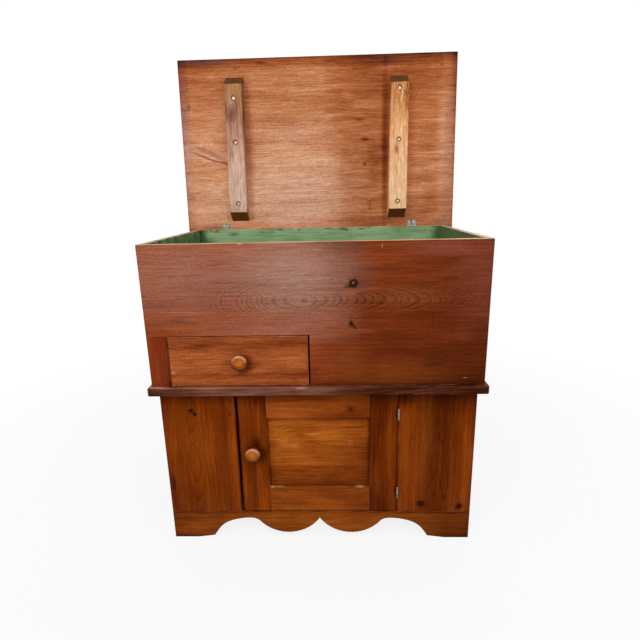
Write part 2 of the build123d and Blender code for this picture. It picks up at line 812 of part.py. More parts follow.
os.makedirs("parts", exist_ok=True)
for node, shape in all_nodes().items():
    solids = solids_of(shape)
    export_step(solids[0] if len(solids) == 1 else Compound(children=solids), f"parts/{node}.step")
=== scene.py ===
import bpy
import json
import math
from mathutils import Matrix, Vector


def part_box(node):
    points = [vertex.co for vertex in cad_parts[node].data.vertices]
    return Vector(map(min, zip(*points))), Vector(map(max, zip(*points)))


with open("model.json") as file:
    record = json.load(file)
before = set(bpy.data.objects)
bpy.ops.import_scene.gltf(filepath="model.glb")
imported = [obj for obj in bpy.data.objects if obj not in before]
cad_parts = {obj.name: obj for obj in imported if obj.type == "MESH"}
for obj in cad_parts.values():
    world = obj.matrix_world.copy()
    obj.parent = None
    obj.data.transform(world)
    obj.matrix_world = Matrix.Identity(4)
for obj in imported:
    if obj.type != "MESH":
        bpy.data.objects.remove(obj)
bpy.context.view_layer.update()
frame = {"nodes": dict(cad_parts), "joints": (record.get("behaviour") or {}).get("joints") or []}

# Dry sink cabinet: the looks of its boards, paint, knobs and hinges.
# Sizes are in mm, x to the right, y to the back and z up, unless a note says metres.

nodes = frame["nodes"]
mm = 0.001
lidHinge = next(joint for joint in frame["joints"] if joint["name"] == "lid_hinge")
lidPin = Vector(lidHinge["pos_m"])
lidLean = math.radians(lidHinge["range_deg"][1] - 90)      # how far the open lid leans back


def nodeBox(node):
    low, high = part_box(node)
    return low / mm, high / mm


def lidBox(node):
    # a node's box in the leaning lid's own axes: x along the pin, y through the lid and z up the lid
    turn = Matrix.Rotation(lidLean, 3, "X")
    points = [turn @ (vertex.co - lidPin) / mm for vertex in nodes[node].data.vertices]
    return lowest(points), highest(points)


def lowest(points):
    return Vector([min(point[axis] for point in points) for axis in range(3)])


def highest(points):
    return Vector([max(point[axis] for point in points) for axis in range(3)])


print("frame read:", len(nodes), "nodes")


def linear(text):
    parts = [int(text[n:n + 2], 16) / 255 for n in (1, 3, 5)]
    return tuple(p / 12.92 if p <= 0.04045 else ((p + 0.055) / 1.055) ** 2.4 for p in parts) + (1.0,)


def grey(value):
    return (value, value, value, 1.0)


def add(tree, kind, inputs=(), out=0, stops=(), **settings):
    # a node with its settings, its numbers and links, in order or by name, and its colour stops; gives one
    # of its outputs
    made = tree.nodes.new("ShaderNode" + kind)
    for key, value in settings.items():
        setattr(made, key, value)
    if stops:
        ramp = made.color_ramp
        while len(ramp.elements) < len(stops):
            ramp.elements.new(1.0)
        for element, (position, colour) in zip(ramp.elements, stops):
            element.position = position
            element.color = linear(colour) if isinstance(colour, str) else colour
    for key, value in inputs.items() if isinstance(inputs, dict) else enumerate(inputs):
        if isinstance(value, bpy.types.NodeSocket):
            tree.links.new(value, made.inputs[key])
        else:
            made.inputs[key].default_value = value
    return made.outputs[out] if len(made.outputs) else None


soft = {"interpolation_type": "SMOOTHSTEP"}
colourMix = {"out": 2, "data_type": "RGBA"}        # 0 is the share, 6 the lower colour and 7 the upper


def emptyMaterial(name):
    made = bpy.data.materials.new(name)
    made.use_nodes = True
    made.node_tree.nodes.clear()
    return made, made.node_tree


def dress(material, *names):
    for name in names:
        for slot in nodes[name].material_slots:
            slot.material = material


room = {
    "floorColour": "#F4F3F1",
    "floorFade": (0.9, 2.2),       # metres from the cabinet, from plain floor to the white of the room
    "floorGlow": 0.85,             # how much of that white the near floor already has
    "floorSize": 30,               # metres
    "ambient": 0.5,
    # name, place, looks at, width and height in metres, watts
    "lamps": [
        ("keyLamp", (-1.7, -2.5, 2.9), (0, 0, 0.7), 1.0, 1.0, 27),
        ("stripLamp", (0.0, -2.0, 3.1), (0, 0, 0.6), 2.8, 0.25, 24),
        ("sideLamp", (1.9, -2.6, 2.3), (0, 0, 0.8), 1.2, 1.0, 17),
        ("rearLamp", (0.8, 3.2, 2.6), (0, 0, 0.7), 2.4, 1.6, 34),
    ],
}


def makeRoom():
    scene = bpy.context.scene
    scene.view_settings.view_transform = "Standard"
    world = bpy.data.worlds.new("studio")
    scene.world = world
    world.use_nodes = True
    tree = world.node_tree
    tree.nodes.clear()
    kinds = ("Is Camera Ray", "Is Glossy Ray", "Is Transmission Ray")
    rays = [add(tree, "LightPath", out=kind) for kind in kinds]
    straight = add(tree, "Math", [rays[0], rays[1]], operation="MAXIMUM")
    straight = add(tree, "Math", [straight, rays[2]], operation="MAXIMUM")
    light = add(tree, "Background", {"Color": grey(1.0), "Strength": room["ambient"]})
    white = add(tree, "Background", {"Color": grey(1.0), "Strength": 1.0})
    add(tree, "OutputWorld", {"Surface": add(tree, "MixShader", [straight, light, white])})

    bpy.ops.mesh.primitive_plane_add(size=room["floorSize"])
    floor = bpy.context.active_object
    floor.name = "floor"
    made, tree = emptyMaterial("paleFloor")
    reach = add(tree, "VectorMath", [add(tree, "TexCoord", out="Object")], out="Value", operation="LENGTH")
    near, far = room["floorFade"]
    fade = add(tree, "MapRange", {
        "Value": reach, "From Min": near, "From Max": far, "To Min": room["floorGlow"]}, **soft)
    seen = add(tree, "LightPath", out="Is Camera Ray")
    fade = add(tree, "Math", [fade, seen], operation="MULTIPLY")
    matt = add(tree, "BsdfDiffuse", {"Color": linear(room["floorColour"])})
    glow = add(tree, "Emission", {"Color": grey(1.0), "Strength": 1.0})
    add(tree, "OutputMaterial", {"Surface": add(tree, "MixShader", [fade, matt, glow])})
    floor.data.materials.append(made)

    for name, place, target, width, height, watts in room["lamps"]:
        lamp = bpy.data.lights.new(name, "AREA")
        lamp.shape = "RECTANGLE"
        lamp.size = width
        lamp.size_y = height
        lamp.energy = watts
        holder = bpy.data.objects.new(name, lamp)
        holder.location = place
        holder.rotation_euler = (Vector(target) - Vector(place)).to_track_quat("-Z", "Y").to_euler()
        scene.collection.objects.link(holder)
    print("room made")


camera = {
    "place": (55.9, -1448.2, 1001.9),
    "right": -1.987,               # degrees from straight ahead
    "down": 14.213,
    "roll": -1.273,
    "focalPixels": 455.87,
    "centre": (320.33, 312.24),    # pixel where the lens points
    "picture": 640,
    "film": 36.0,
}


def makeCamera():
    right, down, roll = (math.radians(camera[key]) for key in ("right", "down", "roll"))
    ahead = Vector((math.sin(right) * math.cos(down), math.cos(right) * math.cos(down), -math.sin(down)))
    level = Vector((math.cos(right), -math.sin(right), 0))
    up = level.cross(ahead)
    side = math.cos(roll) * level + math.sin(roll) * up
    top = -math.sin(roll) * level + math.cos(roll) * up
    turn = Matrix((side, top, -ahead)).transposed().to_4x4()
    lens = bpy.data.cameras.new("camera")
    lens.sensor_width = camera["film"]
    lens.lens = camera["film"] * camera["focalPixels"] / camera["picture"]
    lens.shift_x = (camera["picture"] / 2 - camera["centre"][0]) / camera["picture"]
    lens.shift_y = (camera["centre"][1] - camera["picture"] / 2) / camera["picture"]
    holder = bpy.data.objects.new("camera", lens)
    holder.matrix_world = Matrix.Translation(Vector(camera["place"]) * mm) @ turn
    bpy.context.scene.collection.objects.link(holder)
    bpy.context.scene.camera = holder
    print("camera made")


# Every board is sawn from a log: growth rings round a heart, drawn out along the grain, then streaks, fibres
# and knots. "order" names the axes along the grain, across it and through the board. On the lid the axes are
# its own, from the hinge pin. Tone 0 is the palest wood of the ramp and 1 the darkest; each shift adds to it.
# Wood drinks stain and wax unevenly, which gives most of the spots, tints and tone profiles; the rest of
# them, noted on each board, are painted sheen and painted shade.

pine = {
    "order": "XZY",
    "lid": False,
    "heart": (0, 0, -200),         # along, across, through
    "stretch": (14, 14),           # how far the rings are drawn out before and after the heart
    "spacing": 5.0,                # from one growth ring to the next
    "uneven": 1.6,                 # how many rings the spacing gains or loses as years were wet or dry
    "yearScale": 0.22,             # how fast that changes from ring to ring
    "yearTone": [(0.0, 0.05), (0.58, 0.16), (0.86, 1.0), (0.93, 0.85), (1.0, 0.05)],   # spring to autumn
    "ring": 0.16,                  # how much the rings darken the wood
    "ringMiddle": 0.3,             # the value of yearTone that darkens nothing
    "ringFade": (340, 40, 0.35),   # length and width of the stretches where they fade, and what stays of them
    "ringPatches": [],             # where the rings stand out: along, across, radius along, radius across
    "ringPatchCore": 0.35,         # the part of a patch's radii where they are full
    "ringElsewhere": 1.0,          # their share outside the patches
    "wave": (260, 55, 7),          # length, width and size of the grain's wander
    "streak": (420, 9, 0.24),      # length, width and strength
    "fibre": (45, 1.6, 0.12),      # real fibres are finer; these are as fine as a picture shows
    "cloud": (170, 60, 0.18),      # broad uneven stain
    "grain": [(90, 3.2, 0.42), (26, 3.6, 0.3), (4.5, 3.4, 0.3)],    # threads and pores laid over every colour
    "threadPowers": (0.8, 1.25, 1.75),     # how strongly they show in red, green and blue
    "threadLeast": 0.05,           # what they leave of a colour at least
    "ringOver": 0.0,               # how much the rings darken the colour laid over them
    "ringOverMiddle": 0.25,        # the value of yearTone that leaves that colour as it is
    "ramp": [(0.0, "#B4641E"), (0.3, "#92430A"), (0.5, "#763104"), (0.7, "#541D01"), (1.0, "#220800")],
    "alongTone": [],               # place and shift
    "acrossTone": [],
    "throughTone": [],
    "spots": [],                   # along, across, radius along, radius across, shift
    "tints": [],                   # along, across, radius along, radius across, colour, strength
    "slants": [],                  # along, across, half length, half width, degrees up, colour, strength
    "slantCore": 0.3,              # the part of a slant's radii where it is full
    "slantDeep": 9000,             # a slant reaches right through the board
    "knots": [],                   # along, across, radius along, radius across
    "knotPush": 8.0,               # how far a knot pushes the rings aside
    "knotReach": 3.2,              # and to how many of its radii
    "knotRagged": 0.35,            # how far its rim strays, in its radii
    "knotGrit": (11, 8),           # length and width of what strays
    "knotRamp": [(0.0, "#3A1A0C"), (0.5, "#2A1008"), (0.8, "#120604"), (1.0, "#2A1008")],
    "knotRim": (0.7, 1.2),         # radii at which its colour is full, and none
    "knotHalo": (0.8, 2.2, 0.2),   # the same for the darker wood round it, and its shift
    "edgeTone": 0.12,              # shift of the grime along the arrises
    "edgeWidth": 6.0,
    "wearAndHighlightColour": "#B8784E",       # where hands have rubbed the arris, and a painted highlight along it
    "wearAndHighlightMix": 0.45,               # its strength
    "wearWidth": 1.5,
    "wearFull": 0.3,               # how near the arris it is full
    "wearLength": (40, 25),        # length and width of the rubbed stretches
    "painted": False,              # whether the bin's green paint covers its inner face
    "roughness": (0.38, 0.56),     # of the palest wood and of the darkest
    "specular": 0.1,               # old wax gives a low, warm sheen
    "specularTint": "#C98A58",
    "bump": 0.1,                   # depth of rings and fibres
    "bumpStrength": 0.5,
    "seed": 0.0,                   # another seed gives another board
}
# A noise mostly stays near 0.5, so a pattern is read off between two of its values, or counts it more than
# once.
noise = {
    "roughness": 0.55,
    "seedSteps": (1, 1.7, 0.6),    # how far a board's seed and a pattern's start move it along x, y and z
    "startSteps": (1, -1, 2),
    "fade": (0.35, 0.65),          # its values where a pattern begins, and is full
    "grit": (0.3, 0.7),
    "wear": (0.4, 0.6),
    "endGrain": (0.35, 0.65),
    "streak": 3,                   # how many times it counts in a board's tone
    "fibre": 2,
    "cloud": 3,
}
# Every pattern starts at its own place in the noise, so that no two of them look alike.
starts = {
    "wander": 1.3,
    "brush": 2.2,
    "streak": 3.1,
    "fibre": 5.9,
    "paintCloud": 6.1,
    "ringFade": 7.7,
    "chip": 8.3,
    "cloud": 9.4,
    "wear": 11.0,
    "endGrain": 12.6,
    "knotGrit": 14.2,
    "thread": 17.3,
    "nextThread": 2.9,             # from one kind of thread to the next
}


def axisVector(order, along, across, through):
    parts = dict(zip(order, (along, across, through)))
    return tuple(parts[axis] for axis in "XYZ")


def planOf(tree, board):
    place = {"Vector": add(tree, "TexCoord", out="Object"), "Scale": (mm, mm, mm)}
    if board["lid"]:
        place["Location"] = tuple(lidPin)
        place["Rotation"] = (-lidLean, 0, 0)
    return add(tree, "Mapping", place, vector_type="TEXTURE")


def noiseOn(tree, plan, board, size, start, detail=2.0, out="Fac"):
    scale = axisVector(board["order"], 1 / size[0], 1 / size[1], 1 / size[1])
    steps = zip(noise["seedSteps"], noise["startSteps"])
    shift = tuple(seedStep * board["seed"] + startStep * start for seedStep, startStep in steps)
    moved = add(tree, "VectorMath", [plan, scale, shift], operation="MULTIPLY_ADD")
    return add(tree, "TexNoise", {
        "Vector": moved, "Scale": 1.0, "Detail": detail, "Roughness": noise["roughness"]}, out=out)


def wandered(tree, plan, board):
    length, width, size = board["wave"]
    wander = noiseOn(tree, plan, board, (length, width), starts["wander"], detail=3.0, out="Color")
    wander = add(tree, "VectorMath", [wander, (0.5, 0.5, 0.5)], operation="SUBTRACT")
    reach = axisVector(board["order"], 0, 2 * size, size)
    return add(tree, "VectorMath", [wander, reach, plan], operation="MULTIPLY_ADD")


def reachFrom(tree, bent, board, along, across, radiusAlong, radiusAcross):
    # 0 in the middle of an ellipse on the board's face and 1 at its rim
    scale = axisVector(board["order"], 1 / radiusAlong, 1 / radiusAcross, 0)
    shift = axisVector(board["order"], -along / radiusAlong, -across / radiusAcross, 0)
    place = add(tree, "VectorMath", [bent, scale, shift], operation="MULTIPLY_ADD")
    return add(tree, "VectorMath", [place], out="Value", operation="LENGTH")


def patchOn(tree, bent, board, patch, core=0.0):
    # 1 in the core of an ellipse, and softly down to 0 at its rim
    reach = reachFrom(tree, bent, board, *patch)
    return add(tree, "MapRange", {"Value": reach, "From Min": 1.0, "From Max": core}, **soft)


def slantOn(tree, bent, board, slant):
    # the same for an ellipse turned by some degrees on the face
    along, across, length, width, degrees = slant
    order = board["order"]
    turn = math.radians(degrees if order[2] == "Z" else -degrees)
    place = add(tree, "Mapping", {
        "Vector": bent,
        "Location": axisVector(order, along, across, 0),
        "Rotation": axisVector(order, 0, 0, turn),
        "Scale": axisVector(order, length, width, board["slantDeep"])}, vector_type="TEXTURE")
    reach = add(tree, "VectorMath", [place], out="Value", operation="LENGTH")
    return add(tree, "MapRange", {"Value": reach, "From Min": 1.0, "From Max": board["slantCore"]}, **soft)


def layColours(tree, bent, board, colour, patches, shapeOn):
    for *patch, text, strength in patches:
        amount = add(tree, "Math", [shapeOn(tree, bent, board, patch), strength], operation="MULTIPLY")
        colour = add(tree, "Mix", {0: amount, 6: colour, 7: linear(text)}, **colourMix)
    return colour


def profile(tree, value, points):
    # shifts read off along one axis of the board, straight from each place to the next
    first, last = points[0][0], points[-1][0]
    stops = [((place - first) / (last - first), grey(0.5 + shift)) for place, shift in points]
    along = add(tree, "MapRange", {"Value": value, "From Min": first, "From Max": last})
    return add(tree, "ValToRGB", {"Fac": along}, stops=stops)


def leastReach(tree, plan, low, high):
    # how far inside a box a point is, along each axis
    inside = add(tree, "VectorMath", [plan, tuple(low)], operation="SUBTRACT")
    outside = add(tree, "VectorMath", [tuple(high), plan], operation="SUBTRACT")
    least = add(tree, "VectorMath", [inside, outside], operation="MINIMUM")
    return add(tree, "SeparateXYZ", [least]).node.outputs


def edgeReach(tree, plan, low, high):
    # on a face the smallest of the three is 0, so the middle one is the way to the nearest edge
    least = leastReach(tree, plan, low, high)
    small = add(tree, "Math", [least["X"], least["Y"]], operation="MINIMUM")
    large = add(tree, "Math", [least["X"], least["Y"]], operation="MAXIMUM")
    third = add(tree, "Math", [large, least["Z"]], operation="MINIMUM")
    return add(tree, "Math", [small, third], operation="MAXIMUM")


def within(tree, plan, low, high):
    least = leastReach(tree, plan, low, high)
    depth = add(tree, "Math", [least["X"], least["Y"]], operation="MINIMUM")
    depth = add(tree, "Math", [depth, least["Z"]], operation="MINIMUM")
    return add(tree, "Math", [depth, 0.0], operation="GREATER_THAN")


def ringLines(tree, bent, board, pushes):
    heart = axisVector(board["order"], *board["heart"])
    away = add(tree, "VectorMath", [bent, heart], operation="SUBTRACT")
    parts = add(tree, "SeparateXYZ", [away]).node.outputs
    along, across, through = (parts[axis] for axis in board["order"])
    before, after = board["stretch"]
    behind = add(tree, "Math", [along, 0.0], operation="MINIMUM")
    behind = add(tree, "Math", [behind, 1 / before], operation="MULTIPLY")
    ahead = add(tree, "Math", [along, 0.0], operation="MAXIMUM")
    place = add(tree, "CombineXYZ", [behind, across, through])
    reach = add(tree, "VectorMath", [place], out="Value", operation="LENGTH")
    reach = add(tree, "Math", [ahead, 1 / after, reach], operation="MULTIPLY_ADD")
    for push in pushes:
        reach = add(tree, "Math", [push, board["knotPush"], reach], operation="MULTIPLY_ADD")
    turn = add(tree, "Math", [reach, 1 / board["spacing"]], operation="MULTIPLY")
    years = add(tree, "TexNoise", {
        "W": turn, "Scale": board["yearScale"], "Detail": 2.0}, noise_dimensions="1D")
    turn = add(tree, "Math", [years, 2 * board["uneven"], turn], operation="MULTIPLY_ADD")
    turn = add(tree, "Math", [turn], operation="FRACT")
    stops = [(part, grey(dark)) for part, dark in board["yearTone"]]
    return add(tree, "ValToRGB", {"Fac": turn}, stops=stops)


def ringsOf(tree, plan, bent, board, reaches):
    ends = {"From Min": board["knotReach"], "From Max": 0.0}
    pushes = [add(tree, "MapRange", {"Value": reach, **ends}, **soft) for reach in reaches]
    rings = ringLines(tree, bent, board, pushes)
    *size, least = board["ringFade"]
    low, high = noise["fade"]
    faded = noiseOn(tree, plan, board, size, starts["ringFade"])
    faded = add(tree, "MapRange", {"Value": faded, "From Min": low, "From Max": high, "To Min": least})
    rings = add(tree, "Math", [rings, faded], operation="MULTIPLY")
    shown = [patchOn(tree, plan, board, patch, board["ringPatchCore"]) for patch in board["ringPatches"]]
    if shown:
        most = shown[0]
        for one in shown[1:]:
            most = add(tree, "Math", [most, one], operation="MAXIMUM")
        most = add(tree, "MapRange", {"Value": most, "To Min": board["ringElsewhere"]})
        rings = add(tree, "Math", [rings, most], operation="MULTIPLY")
    return rings


def knotReaches(tree, plan, bent, board):
    # how far a point is from each knot, in that knot's radii, with a ragged rim
    reaches = [reachFrom(tree, bent, board, *knot) for knot in board["knots"]]
    if reaches:
        most = board["knotRagged"]
        low, high = noise["grit"]
        ragged = noiseOn(tree, plan, board, board["knotGrit"], starts["knotGrit"], detail=3.0)
        ragged = add(tree, "MapRange", {
            "Value": ragged, "From Min": low, "From Max": high, "To Min": -most, "To Max": most})
        reaches = [add(tree, "Math", [reach, ragged], operation="ADD") for reach in reaches]
    return reaches


def wearAndHighlightOn(tree, plan, board, edge, colour):
    # paler stretches of the arrises: wear where hands have rubbed them, and a painted highlight along them
    low, high = noise["wear"]
    rubbedAndHighlight = noiseOn(tree, plan, board, board["wearLength"], starts["wear"])
    rubbedAndHighlight = add(tree, "MapRange", {"Value": rubbedAndHighlight, "From Min": low, "From Max": high})
    worn = add(tree, "MapRange", {
        "Value": edge, "From Min": board["wearWidth"], "From Max": board["wearFull"]}, **soft)
    worn = add(tree, "Math", [worn, rubbedAndHighlight], operation="MULTIPLY")
    worn = add(tree, "Math", [worn, board["wearAndHighlightMix"]], operation="MULTIPLY")
    return add(tree, "Mix", {0: worn, 6: colour, 7: linear(board["wearAndHighlightColour"])}, **colourMix)


def threadsOver(tree, bent, board, rings, colour):
    # a thread's noise is 0.5 on average, so the start makes all of them together leave the colour as it is
    light = 1.0 - sum(strength for *size, strength in board["grain"])
    light += board["ringOverMiddle"] * board["ringOver"]
    if board["ringOver"]:
        light = add(tree, "Math", [rings, -board["ringOver"], light], operation="MULTIPLY_ADD")
    for step, (*size, strength) in enumerate(board["grain"]):
        thread = noiseOn(tree, bent, board, size, starts["thread"] + step * starts["nextThread"])
        light = add(tree, "Math", [thread, 2 * strength, light], operation="MULTIPLY_ADD")
    light = add(tree, "Math", [light, board["threadLeast"]], operation="MAXIMUM")
    shares = [add(tree, "Math", [light, power], operation="POWER") for power in board["threadPowers"]]
    shares = add(tree, "CombineXYZ", shares)
    return add(tree, "VectorMath", [colour, shares], operation="MULTIPLY")


def woodOf(tree, plan, board, low, high):
    bent = wandered(tree, plan, board)
    reaches = knotReaches(tree, plan, bent, board)
    rings = ringsOf(tree, plan, bent, board, reaches)
    streak = noiseOn(tree, bent, board, board["streak"], starts["streak"], detail=4.0)
    fibre = noiseOn(tree, plan, board, board["fibre"], starts["fibre"])
    cloud = noiseOn(tree, bent, board, board["cloud"], starts["cloud"])
    edge = edgeReach(tree, plan, low, high)
    grimeAndShade = add(tree, "MapRange", {"Value": edge, "From Min": board["edgeWidth"], "From Max": 0.0}, **soft)
    # value, weight and the value at which it shifts nothing
    shifts = [
        (rings, board["ring"], board["ringMiddle"]),
        (streak, noise["streak"] * board["streak"][2], 0.5),
        (fibre, noise["fibre"] * board["fibre"][2], 0.5),
        (cloud, noise["cloud"] * board["cloud"][2], 0.5),
        (grimeAndShade, board["edgeTone"], 0),
    ]
    parts = add(tree, "SeparateXYZ", [bent]).node.outputs
    for points, axis in zip((board["alongTone"], board["acrossTone"], board["throughTone"]), board["order"]):
        if points:
            shifts.append((profile(tree, parts[axis], points), 1.0, 0.5))
    for *patch, shift in board["spots"]:
        shifts.append((patchOn(tree, bent, board, patch), shift, 0))
    full, none, dark = board["knotHalo"]
    for reach in reaches:
        halo = add(tree, "MapRange", {"Value": reach, "From Min": none, "From Max": full}, **soft)
        shifts.append((halo, dark, 0))
    tone = 0.5 - sum(weight * middle for value, weight, middle in shifts)
    for value, weight, middle in shifts:
        tone = add(tree, "Math", [value, weight, tone], operation="MULTIPLY_ADD")
    colour = add(tree, "ValToRGB", {"Fac": tone}, stops=board["ramp"])
    colour = layColours(tree, bent, board, colour, board["tints"], patchOn)
    colour = layColours(tree, bent, board, colour, board["slants"], slantOn)
    colour = wearAndHighlightOn(tree, plan, board, edge, colour)
    colour = threadsOver(tree, bent, board, rings, colour)
    full, none = board["knotRim"]
    for reach in reaches:
        knotted = add(tree, "MapRange", {"Value": reach, "From Min": none, "From Max": full}, **soft)
        knot = add(tree, "ValToRGB", {"Fac": reach}, stops=board["knotRamp"])
        colour = add(tree, "Mix", {0: knotted, 6: colour, 7: knot}, **colourMix)
    return colour, tone, add(tree, "Math", [fibre, rings], operation="ADD")


# Flat milk paint, brushed along the boards, with painted shade in the corners and on the side boards, and
# chipped towards the rim.
binPaint = {
    "order": "XZY",
    "seed": 4.0,
    "ramp": [(0.0, "#AEC89E"), (0.42, "#94B286"), (0.62, "#789868"), (1.0, "#34462A")],
    "tone": 0.45,                  # its place on the ramp where it is plain
    "brush": (160, 5, 0.6),        # length, width and strength
    "cloud": (110, 40, 0.4),
    "cornerWidth": 34,
    "cornerTone": 0.4,             # shift of the painted shade in the corners
    "sideTone": 0.3,               # painted shade: the side boards darker than the back
    "sideReach": 1.0,              # how far from a side board its face counts as the side
    # the dark marks by the corners, at -430, -425 and 434, are painted shade; the others are smudges and
    # specks in the paint
    "marks": [(-316, 874, 34, 12, "#6A6448", 0.8), (-430, 866, 14, 24, "#42563A", 0.6),
              (-425, 846, 64, 34, "#4C6A42", 0.85), (434, 860, 40, 70, "#4E6A44", 0.75),
              (440, 866, 8, 90, "#66804E", 0.9), (300, 884, 34, 5, "#7C8E62", 0.5),
              (150, 862, 40, 6, "#6A7A52", 0.4), (40, 872, 30, 5, "#6E6A48", 0.5),
              (-140, 866, 50, 7, "#6E7E58", 0.5), (150, 880, 60, 6, "#A8C89C", 0.5)],
    "chip": (42, 14),              # length and width
    "chipColour": "#5E4A30",
    "chipBelowRim": 30,
    "chipMore": 0.12,              # how much likelier a chip is at the rim
    "chipEdge": (0.66, 0.72),      # where in its noise a chip begins, and is full
    "chipMix": 0.8,
    "rimColours": ("#D8B08A", "#9A6440"),      # bare and stained
    "rimBlend": (0.34, 0.7),       # where in the cloud the rim is bare, and stained
    "sideRimColour": "#BEB294",    # bare, on the side boards
    "rimDepth": (1.3, 0.2),        # how far down from the rim the wood begins to be bare, and is
    "slack": 0.5,                  # how far past the boards' faces the paint is looked for
    "pocketSlack": 2.0,            # and how far past the pocket's outer corner it is left out
    "openAbove": 900,              # nothing above makes a corner
}
binFrontBox, binBackBox = nodeBox("bin_front_board"), nodeBox("bin_back_board")
binLow = Vector((nodeBox("bin_side_left")[1].x, binFrontBox[1].y, binFrontBox[0].z))
binHigh = Vector((nodeBox("bin_side_right")[0].x, binBackBox[0].y, binFrontBox[1].z))
pocketHigh = Vector((nodeBox("drawer_pocket_side")[1].x, binHigh.y, nodeBox("drawer_pocket_top")[1].z))


def paintedPart(tree, plan):
    # inside the bin, but not inside the drawer's pocket
    slack, pocketSlack = (Vector([binPaint[key]] * 3) for key in ("slack", "pocketSlack"))
    painted = within(tree, plan, binLow - slack, binHigh + slack)
    pocket = within(tree, plan, binLow - pocketSlack, pocketHigh - slack)
    beside = add(tree, "Math", [1.0, pocket], operation="SUBTRACT")
    return add(tree, "Math", [painted, beside], operation="MULTIPLY")


def chipped(tree, plan, height, green):
    below = binHigh.z - binPaint["chipBelowRim"]
    nearRim = add(tree, "MapRange", {"Value": height, "From Min": below, "From Max": binHigh.z}, **soft)
    chip = noiseOn(tree, plan, binPaint, binPaint["chip"], starts["chip"], detail=4.0)
    chip = add(tree, "Math", [nearRim, binPaint["chipMore"], chip], operation="MULTIPLY_ADD")
    low, high = binPaint["chipEdge"]
    chip = add(tree, "MapRange", {
        "Value": chip, "From Min": low, "From Max": high, "To Max": binPaint["chipMix"]})
    return add(tree, "Mix", {0: chip, 6: green, 7: linear(binPaint["chipColour"])}, **colourMix)


def paintOver(tree, plan, colour, tone):
    painted = paintedPart(tree, plan)
    brush = noiseOn(tree, plan, binPaint, binPaint["brush"], starts["brush"], detail=3.0)
    cloud = noiseOn(tree, plan, binPaint, binPaint["cloud"], starts["paintCloud"], detail=3.0)
    near = edgeReach(tree, plan, binLow, binHigh + Vector((0, 0, binPaint["openAbove"])))
    corner = add(tree, "MapRange", {
        "Value": near, "From Min": binPaint["cornerWidth"], "From Max": 0.0}, **soft)
    side = leastReach(tree, plan, binLow, binHigh)["X"]
    side = add(tree, "MapRange", {"Value": side, "From Min": binPaint["sideReach"], "From Max": 0.0}, **soft)
    brushing, clouding = binPaint["brush"][2], 2 * binPaint["cloud"][2]
    shade = binPaint["tone"] - 0.5 * (brushing + clouding)
    corners, sides = binPaint["cornerTone"], binPaint["sideTone"]
    for value, weight in ((brush, brushing), (cloud, clouding), (corner, corners), (side, sides)):
        shade = add(tree, "Math", [value, weight, shade], operation="MULTIPLY_ADD")
    green = add(tree, "ValToRGB", {"Fac": shade}, stops=binPaint["ramp"])
    green = layColours(tree, plan, binPaint, green, binPaint["marks"], patchOn)
    height = add(tree, "SeparateXYZ", [plan], out="Z")
    green = chipped(tree, plan, height, green)
    colour = add(tree, "Mix", {0: painted, 6: colour, 7: green}, **colourMix)
    bare, stained = (linear(text) for text in binPaint["rimColours"])
    bare = add(tree, "Mix", {0: side, 6: bare, 7: linear(binPaint["sideRimColour"])}, **colourMix)
    low, high = binPaint["rimBlend"]
    blend = add(tree, "MapRange", {"Value": cloud, "From Min": low, "From Max": high})
    bare = add(tree, "Mix", {0: blend, 6: bare, 7: stained}, **colourMix)
    low, high = (binHigh.z - depth for depth in binPaint["rimDepth"])
    rim = add(tree, "MapRange", {"Value": height, "From Min": low, "From Max": high})
    colour = add(tree, "Mix", {0: rim, 6: colour, 7: bare}, **colourMix)
    return colour, add(tree, "Mix", {0: painted, 6: tone, 7: shade}, **colourMix)


def finishSurface(tree, board, colour, tone, relief):
    low, high = board["roughness"]
    bump = add(tree, "Bump", {
        "Height": relief, "Strength": board["bumpStrength"], "Distance": board["bump"] * mm})
    surface = add(tree, "BsdfPrincipled", {
        "Base Color": colour, "Normal": bump,
        "Roughness": add(tree, "MapRange", {"Value": tone, "To Min": low, "To Max": high}),
        "Specular IOR Level": board["specular"], "Specular Tint": linear(board["specularTint"])})
    add(tree, "OutputMaterial", {"Surface": surface})


def wholeBox(boxes):
    return lowest([low for low, high in boxes]), highest([high for low, high in boxes])


def dressBoard(materialName, board, *names, edges=None):
    made, tree = emptyMaterial(materialName)
    plan = planOf(tree, board)
    low, high = edges or wholeBox([lidBox(name) if board["lid"] else nodeBox(name) for name in names])
    colour, tone, relief = woodOf(tree, plan, board, low, high)
    if board["painted"]:
        colour, tone = paintOver(tree, plan, colour, tone)
    finishSurface(tree, board, colour, tone, relief)
    dress(made, *names)


makeRoom()
makeCamera()
